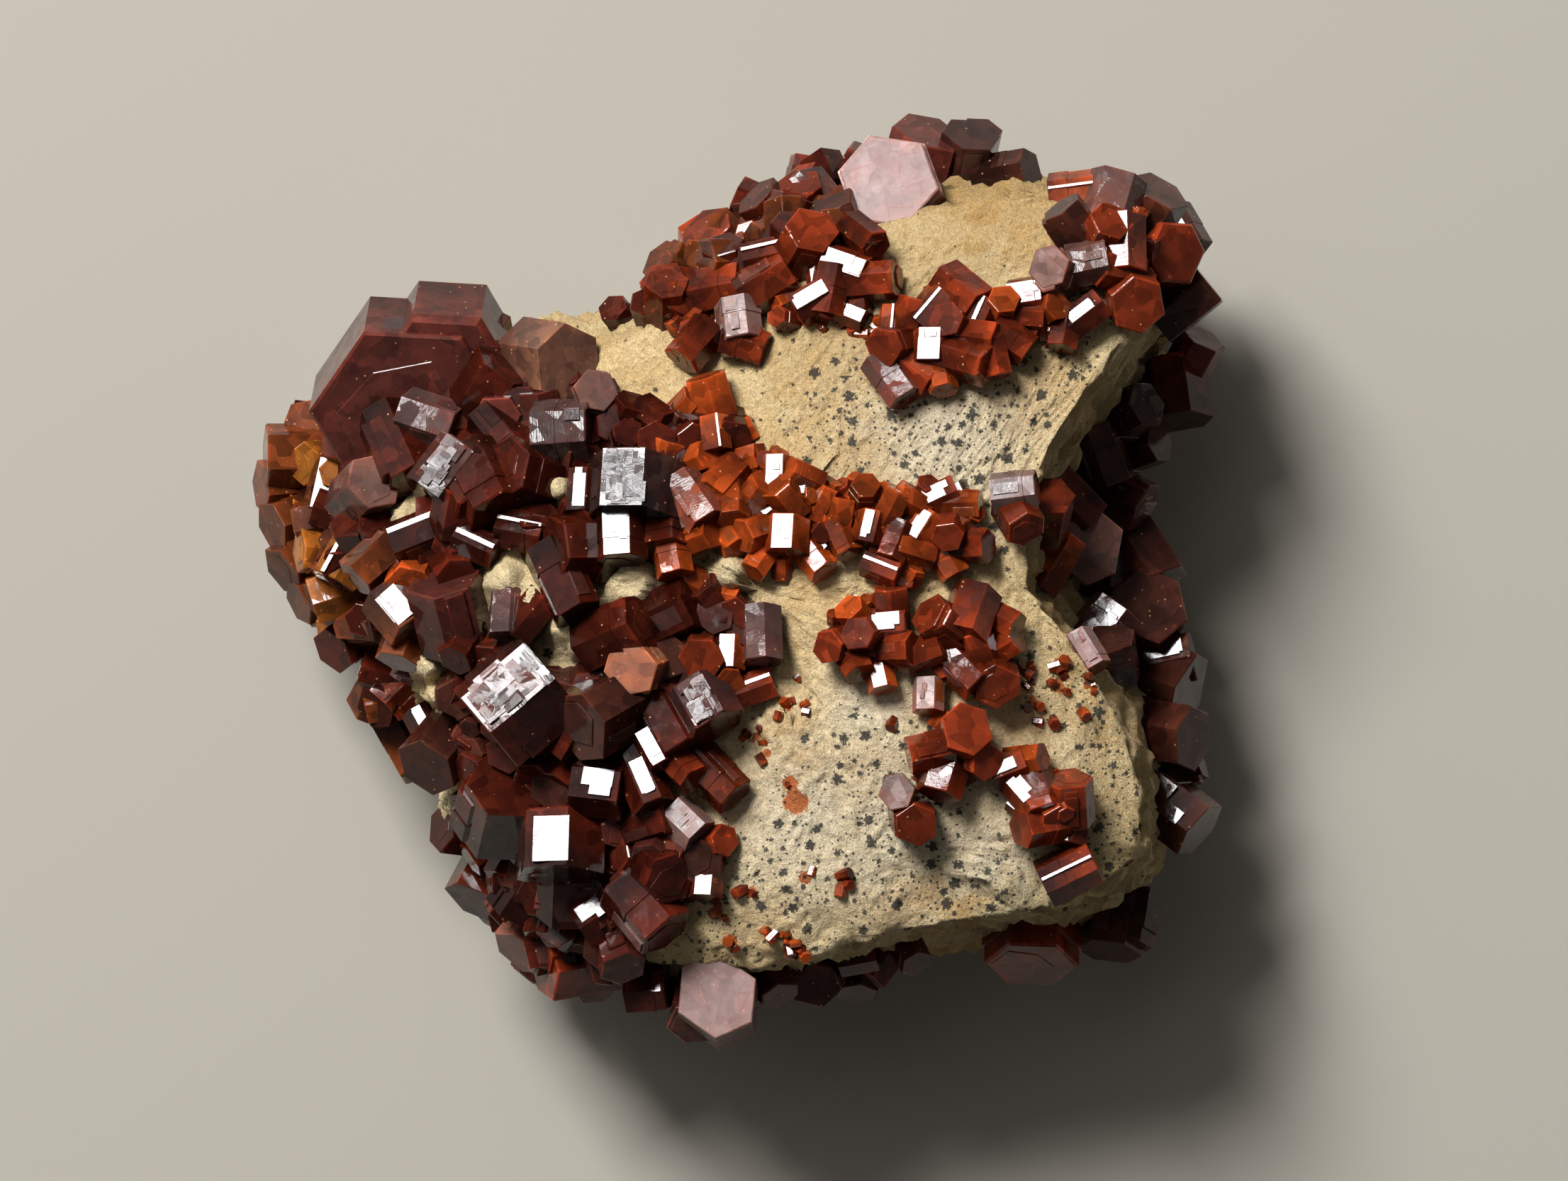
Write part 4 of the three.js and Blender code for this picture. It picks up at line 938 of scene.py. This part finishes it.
grow_crystals("ridge_small_crystals", "orange", in_cad=False, lit=[
    (2.1, 7.5, 2, 2.4, 92, 0.4, "orange", "mirror"),
    (9.6, 0.9, 2.2, 2.8, -25, 0.3, "brick", "strip"),
], leaning=[
    (3, 5.4, 2.2, 2.8, 61, 129, 3, 0.3),
    (5.4, 5.2, 2, 2.6, 80, 63, 16, 0.2),
    (4.2, 7, 2, 2.6, 65, 155, 27, 0.2),
    (7, 2.6, 2, 2.6, 65, -67, 17, 0.2),
    (11.8, 5.2, 1.9, 2.6, 72, 152, 16, 0.2),
    (14.2, 1.2, 2.1, 2.8, 84, -60, 9, 0.2),
    (12, 1.8, 2.1, 2.8, 76, 163, 8, 0.2),
    (10.6, 2.4, 2.2, 2.8, 75, -113, 22, 0.2, "brick"),
    (10.9, 0.4, 1.9, 2.6, 84, -37, 12, 0.1),
])

# Lower plate. Separate brick red clusters and single crystals stand on the bare pale rock.
grow_crystals("lower_plate_west_cluster", "brick", lit=[
    (9.9, -3.2, 2.4, 2.8, 2, 0.4, "brick", "patch"),
], leaning=[
    (10.4, -2.2, 2.4, 3, 76, 93, 30, 0.3),
    (8.4, -4.3, 2.4, 3, 23, 150, 4, 0.4),
    (10.6, -5.1, 2.4, 3, 60, 0, 6, 0.3),
])
grow_crystals("lower_plate_east_cluster", "brick", leaning=[
    (13.9, -3.4, 3.1, 3, 59, 143, 19, 0.3),
    (15.9, -2.8, 3.3, 3.8, 62, -110, 17, 0.4),
    (15.4, -6.6, 2.6, 3.8, 66, -45, 2, 0.3),
    (17.7, -7.2, 3, 3.4, 20, -80, 22, 0.3),
    (16.4, -5, 2.4, 3.2, 65, 112, 1, 0.3),
])
grow_crystals("lower_plate_upright_crystal", lit=[
    (12.8, -8.2, 2, 2.4, -88, 0.3, "orange", "frosty"),
])
grow_crystals("lower_plate_south_cluster", "brick", leaning=[
    (15.3, -11.2, 3.4, 3.6, 18, 60, 12, 0.4),
    (13.1, -12.4, 2.7, 3.2, 83, -168, 9, 0.3),
    (14, -14.1, 3, 3, 72, -107, 13, 0.3),
    (16.3, -12.8, 2.4, 3, 35, -20, 17, 0.3),
    (11, -15.4, 2.4, 3, 16, 140, 20, 0.5, "rose"),
    (11.9, -17, 3, 3.2, 20, -60, 5, 0.3),
])
grow_crystals("lower_right_chain", "brick", leaning=[
    (20.6, -15.4, 2.8, 3.2, 64, -72, 1, 0.4),
    (22.9, -15.8, 3.1, 3.4, 65, 94, 6, 0.4),
    (20.9, -17.6, 2.8, 3.4, 60, -170, 12, 0.3),
    (21.6, -16.4, 2.4, 3, 43, -60, 0, 0.4),
])
grow_crystals("lower_right_amber_crystal", lit=[
    (22.6, -20.4, 3.1, 4, 25, 0.4, "brick", "strip"),
])
grow_crystals("lower_plate_small_crystals", "brick", in_cad=False, lit=[
    (9.3, -6.6, 1.9, 2.6, -75, 0.2, "orange", "mirror"),
    (18.4, -13.2, 2.2, 2.6, 20, 0.4, "brick", "patch"),
    (19.5, -14.9, 2.3, 2.8, -50, 0.5, "brick", "patch"),
    (22.9, -17.4, 2.2, 2.8, 84, 0.3, "brick", "strip"),
], leaning=[
    (6.5, -4.8, 2.3, 2.8, 30, 200, 20, 0.2),
    (7.6, -5.8, 2.2, 2.8, 60, -63, 30, 0.1),
    (12.5, -5.4, 2.2, 3.4, 72, 20, 0, 0.2),
    (7.9, -2.9, 2, 2.6, 46, 130, 7, 0.2, "orange"),
    (18, -3, 2.2, 3, 67, -27, 24, 0.2),
    (18, -5, 2.3, 3, 65, 32, 28, 0.2),
    (19.8, -12.9, 2.1, 2.8, 60, 8, 29, 0.2, "orange"),
])

# Right flank. Brown and pinkish crystals grow on the low shadowed side behind the front edge.
grow_crystals("right_shoulder_crystals", "brick", lit=[
    (30.7, 13.9, 4.2, 4.6, 100, 2, "brick", "mirror"),
], leaning=[
    (32, 15.4, 3.2, 4.6, 65, 62, 13, 1.4),
])
grow_crystals("right_hollow_barrels", "brown", leaning=[
    (27.4, 11.6, 3.2, 4.4, 44, 30, 5, 0.8),
    (25.6, 8.7, 3.4, 4.4, 86, 110, 18, 1.2),
])
grow_crystals("right_hollow_pink_brown_crystals", "rose", leaning=[
    (24, 2.3, 4.8, 5, 20, -30, 21, 1.6),
    (23, 5.6, 3.4, 4.4, 74, 134, 24, 0.8, "brick"),
])
grow_crystals("right_ledge_crystal", "brick", leaning=[
    (21.4, 4.4, 3.2, 4.2, 40, 80, 12, 0.4),
])
grow_crystals("right_flank_lit_tablet", lit=[
    (25.3, -3.1, 3.8, 3.6, 55, 1.8, "brown", "mirror"),
])
grow_crystals("right_flank_druse", "brown", lit=[
    (26.6, 6.4, 3.6, 4.4, -30, 1.8, "brown", "strip"),
    (29.9, -5.5, 3.8, 4.2, 10, 2.6, "brown", "patch"),
    (30.4, -16.2, 4.6, 5, -40, 2.4, "brown", "patch"),
], leaning=[
    (26.4, 4.6, 4.2, 5, 74, 53, 5, 1),
    (28.6, 1.3, 4.2, 5.2, 66, -58, 30, 1),
    (26.4, -1, 4.2, 5, 43, 30, 17, 0.8),
    (28.4, -2.9, 5.2, 5.2, 24, 60, 10, 2),
    (29.6, -7.6, 5.4, 5.4, 67, -21, 27, 1.4),
    (30, -11.2, 4.6, 5.4, 55, -10, 22, 1.2),
    (31, -14, 2.8, 4, 77, 23, 13, 1),
])
grow_crystals("right_flank_small_crystals", "brown", in_cad=False, lit=[
    (18.8, 6.3, 2.6, 3.2, 4, 1.2, "brown", "frosty"),
    (21.6, 1.4, 2.9, 4.4, 62, 1.6, "orange", "patch"),
    (24, -5.1, 2.2, 3, -58, 1, "brick", "frosty"),
], leaning=[
    (28.2, 9, 3, 4.4, 55, 20, 18, 0.8),
    (19.2, 4.2, 2.6, 3.4, 43, -60, 4, 0.6, "brick"),
    (26.4, -5.8, 3, 4.2, 47, 100, 15, 0.8),
])

# Understorey. Small dark crystals fill the gaps of the left druse and dot the broken sides of the rock,
# each grown out from the face it stands on.
DRUSE_FILL = [
    ((-22, 10), 7, 60), ((-26, 3), 6, 50), ((-14, 8), 6, 46), ((-8, 6), 5, 34), ((-20, -4), 5, 34),
    ((-10, -6), 5, 40), ((-17, -11), 5, 40), ((-9, -12), 5, 40), ((-12, -19), 6, 50),
    ((-13, -24), 5, 40), ((-3, -4), 3.5, 24), ((-3, 7), 4, 34), ((-5, -20), 3, 16),
]
CLEAR_OF_WINDOWS_MM = 1.0


def scatter(name, discs, sizes, tones, seed, rise):
    spread = random.Random(seed)
    growth = Growth()
    for (cx, cy), reach, count in discs:
        for _ in range(count):
            away = reach * math.sqrt(spread.random())
            a = spread.uniform(0, 2 * math.pi)
            x, y = cx + away * math.cos(a), cy + away * math.sin(a)
            to_windows = [math.hypot(x - wx, y - wy) - radius for wx, wy, radius in BARE_WINDOWS]
            if min(to_windows) < CLEAR_OF_WINDOWS_MM:
                continue
            hit = rock_tree.ray_cast(Vector((x, y, ABOVE_THE_ROCK_MM)), DOWN)
            if hit[0] is None:
                continue
            stand_on(growth, hit[0], hit[1], spread, sizes, tones, rise)
    finish_crystals(name, growth, None)


LIT_SHARE = 0.2
LARGEST_LIT_MM = 1.7


def stand_on(growth, place, normal, spread, sizes, tones, rise):
    across = spread.uniform(*sizes)
    length = across * spread.uniform(1.0, 1.5)
    tilt = Vector((spread.gauss(0, 0.6), spread.gauss(0, 0.6), spread.gauss(0, 0.6)))
    c = (normal + tilt).normalized()
    face = c.orthogonal().normalized()
    face.rotate(Matrix.Rotation(spread.uniform(0, math.pi), 3, c))
    surface = None
    if spread.random() < LIT_SHARE and across < LARGEST_LIT_MM:
        c = (c - LIT_NORMAL * c.dot(LIT_NORMAL)).normalized()
        face, surface = LIT_NORMAL, "mirror"
    centre = place + normal * rise * across
    add_crystal(growth, centre, c, face, across, length, spread.choice(tones), surface)


RIDGE_FILL = [
    ((1, 6), 2.6, 30), ((0.5, 3.5), 2, 16), ((5, 4.6), 1.8, 22), ((8.5, 4.6), 2, 26),
    ((13.5, 4.4), 2.4, 24), ((11, 1.4), 2, 16), ((3.5, 1.5), 2, 12),
]
PLATE_FILL = [
    ((11.5, 16.5), 2, 12), ((14.5, 18), 2.4, 22), ((17.5, 17.5), 2.4, 24), ((20.5, 18.5), 1.6, 10),
    ((8.5, -4), 2.4, 16), ((15.5, -4.5), 2.4, 16), ((14, -12.5), 2.2, 12), ((20.5, -15.5), 2, 14),
    ((6.5, 20.5), 3, 20), ((2, 20), 3, 22), ((-3, 18.5), 2.4, 14), ((26, 23), 3, 20),
]
EDGE_FILL = [
    ((-5, 18.8), 2, 8), ((-1, 21.5), 2.4, 12), ((2.5, 24), 2.4, 12), ((6, 26.2), 2, 8),
]
LEFT_EDGE_FILL = [
    ((-29.5, 8.5), 2.5, 12), ((-29, 3), 2.4, 12), ((-27, -2), 2.4, 12), ((-25, -8), 2.2, 10),
]
scatter(
    "left_druse_understorey", DRUSE_FILL,
    sizes=(1.3, 3.1), tones=("maroon", "maroon", "wine", "brown"), seed=5, rise=0.25,
)
scatter(
    "top_edge_understorey", EDGE_FILL,
    sizes=(1.8, 3.2), tones=("brick", "maroon", "russet"), seed=9, rise=0.4,
)
scatter(
    "left_edge_understorey", LEFT_EDGE_FILL,
    sizes=(2.0, 3.4), tones=("russet", "maroon", "amber"), seed=10, rise=0.5,
)
scatter(
    "ridge_understorey", RIDGE_FILL,
    sizes=(0.7, 1.5), tones=("orange", "orange", "brick"), seed=6, rise=0.35,
)
scatter(
    "plate_understorey", PLATE_FILL,
    sizes=(0.8, 1.7), tones=("brick", "brick", "orange"), seed=7, rise=0.35,
)

# Crumbs. Single vanadinite crystals of less than a millimetre sit on the bare fronts where a cluster
# began to grow, orange because they are thin.
CRUMB_PLACES = [
    (7.2, 19.1), (5.5, 18.2), (8.4, 18.3), (8, 17.3), (9, 17.2), (3.6, -8.6), (4.3, -9), (2.8, -9.3),
    (0.5, -11.3), (1.5, -12.5), (3.5, -14.4), (10.5, -10.3), (2, -7.3), (3.3, -7.5), (7, -7.5),
    (20.2, -6.6), (22.3, -6.2), (22.5, -7), (22, -7.8), (24.5, -7.7), (20, -7.8), (21, -10.3),
    (20.2, -9), (23.5, -10), (4.3, -21.3), (0.5, -22.4), (7.2, -21.6), (1.5, -25.2), (-1, -25.8),
    (-1.8, -23.5), (11.7, 12.4), (3.1, -26.2), (3.6, -26.7), (3.9, -26), (3.3, -25.7), (4.1, -26.6),
]
spread = random.Random(8)
crumbs = Growth()
for x, y in CRUMB_PLACES:
    for _ in range(spread.choice((1, 2, 3))):
        above = Vector((x + spread.gauss(0, 0.35), y + spread.gauss(0, 0.35), ABOVE_THE_ROCK_MM))
        place, normal = drawn_rock_tree.ray_cast(above, DOWN)[:2]
        stand_on(crumbs, place, normal, spread, (0.35, 0.8), ("orange", "orange", "brick"), 0.05)
finish_crystals("orange_crumbs", crumbs, None)

# Floor, lights and camera. The specimen lies on a plain pale floor under a soft light from the upper
# left and a weak broad fill, and the camera looks straight down on it.
floor_mesh = bpy.data.meshes.new("floor")
FLOOR_REACH_M = 1.5
floor_corners = [(x * FLOOR_REACH_M, y * FLOOR_REACH_M, 0) for x, y in ((-1, -1), (1, -1), (1, 1), (-1, 1))]
floor_mesh.from_pydata(floor_corners, [], [(0, 1, 2, 3)])
floor = bpy.data.objects.new("floor", floor_mesh)
bpy.context.scene.collection.objects.link(floor)
floor_paint, _, floor_skin = new_material("pale_matt_floor")
floor_skin.inputs["Base Color"].default_value = linear("#989389")
floor_skin.inputs["Roughness"].default_value = 0.9
floor_mesh.materials.append(floor_paint)


def softbox(name, toward, distance, size, watts):
    lamp = bpy.data.lights.new(name, "AREA")
    lamp.shape = "SQUARE"
    lamp.size = size
    lamp.energy = watts
    holder = bpy.data.objects.new(name, lamp)
    holder.location = Vector(toward).normalized() * distance
    holder.rotation_euler = Vector(toward).to_track_quat("Z", "Y").to_euler()
    bpy.context.scene.collection.objects.link(holder)


softbox("key_softbox", (-0.357, 0.545, 0.767), 1.0, 0.3, 18.5)
softbox("broad_softbox", (-0.42, 0.5, 0.78), 1.2, 1.2, 3.6)

world = bpy.data.worlds.new("dim_studio")
bpy.context.scene.world = world
world.use_nodes = True
world.node_tree.nodes["Background"].inputs["Color"].default_value = (1, 1, 1, 1)
world.node_tree.nodes["Background"].inputs["Strength"].default_value = 0.1
bpy.context.scene.view_settings.view_transform = "Standard"

PICTURE_CENTRE_MM = (2.8, -1.05)
PICTURE_WIDTH_MM = 110.6
FRONT_PLANE_MM = 30.0
LENS_MM = 250.0
camera_data = bpy.data.cameras.new("camera")
camera_data.lens = LENS_MM
camera_data.sensor_width = 36.0
camera_distance = LENS_MM / camera_data.sensor_width * PICTURE_WIDTH_MM
camera = bpy.data.objects.new("camera", camera_data)
camera.location = Vector((*PICTURE_CENTRE_MM, FRONT_PLANE_MM + camera_distance)) * MM
bpy.context.scene.collection.objects.link(camera)
bpy.context.scene.camera = camera
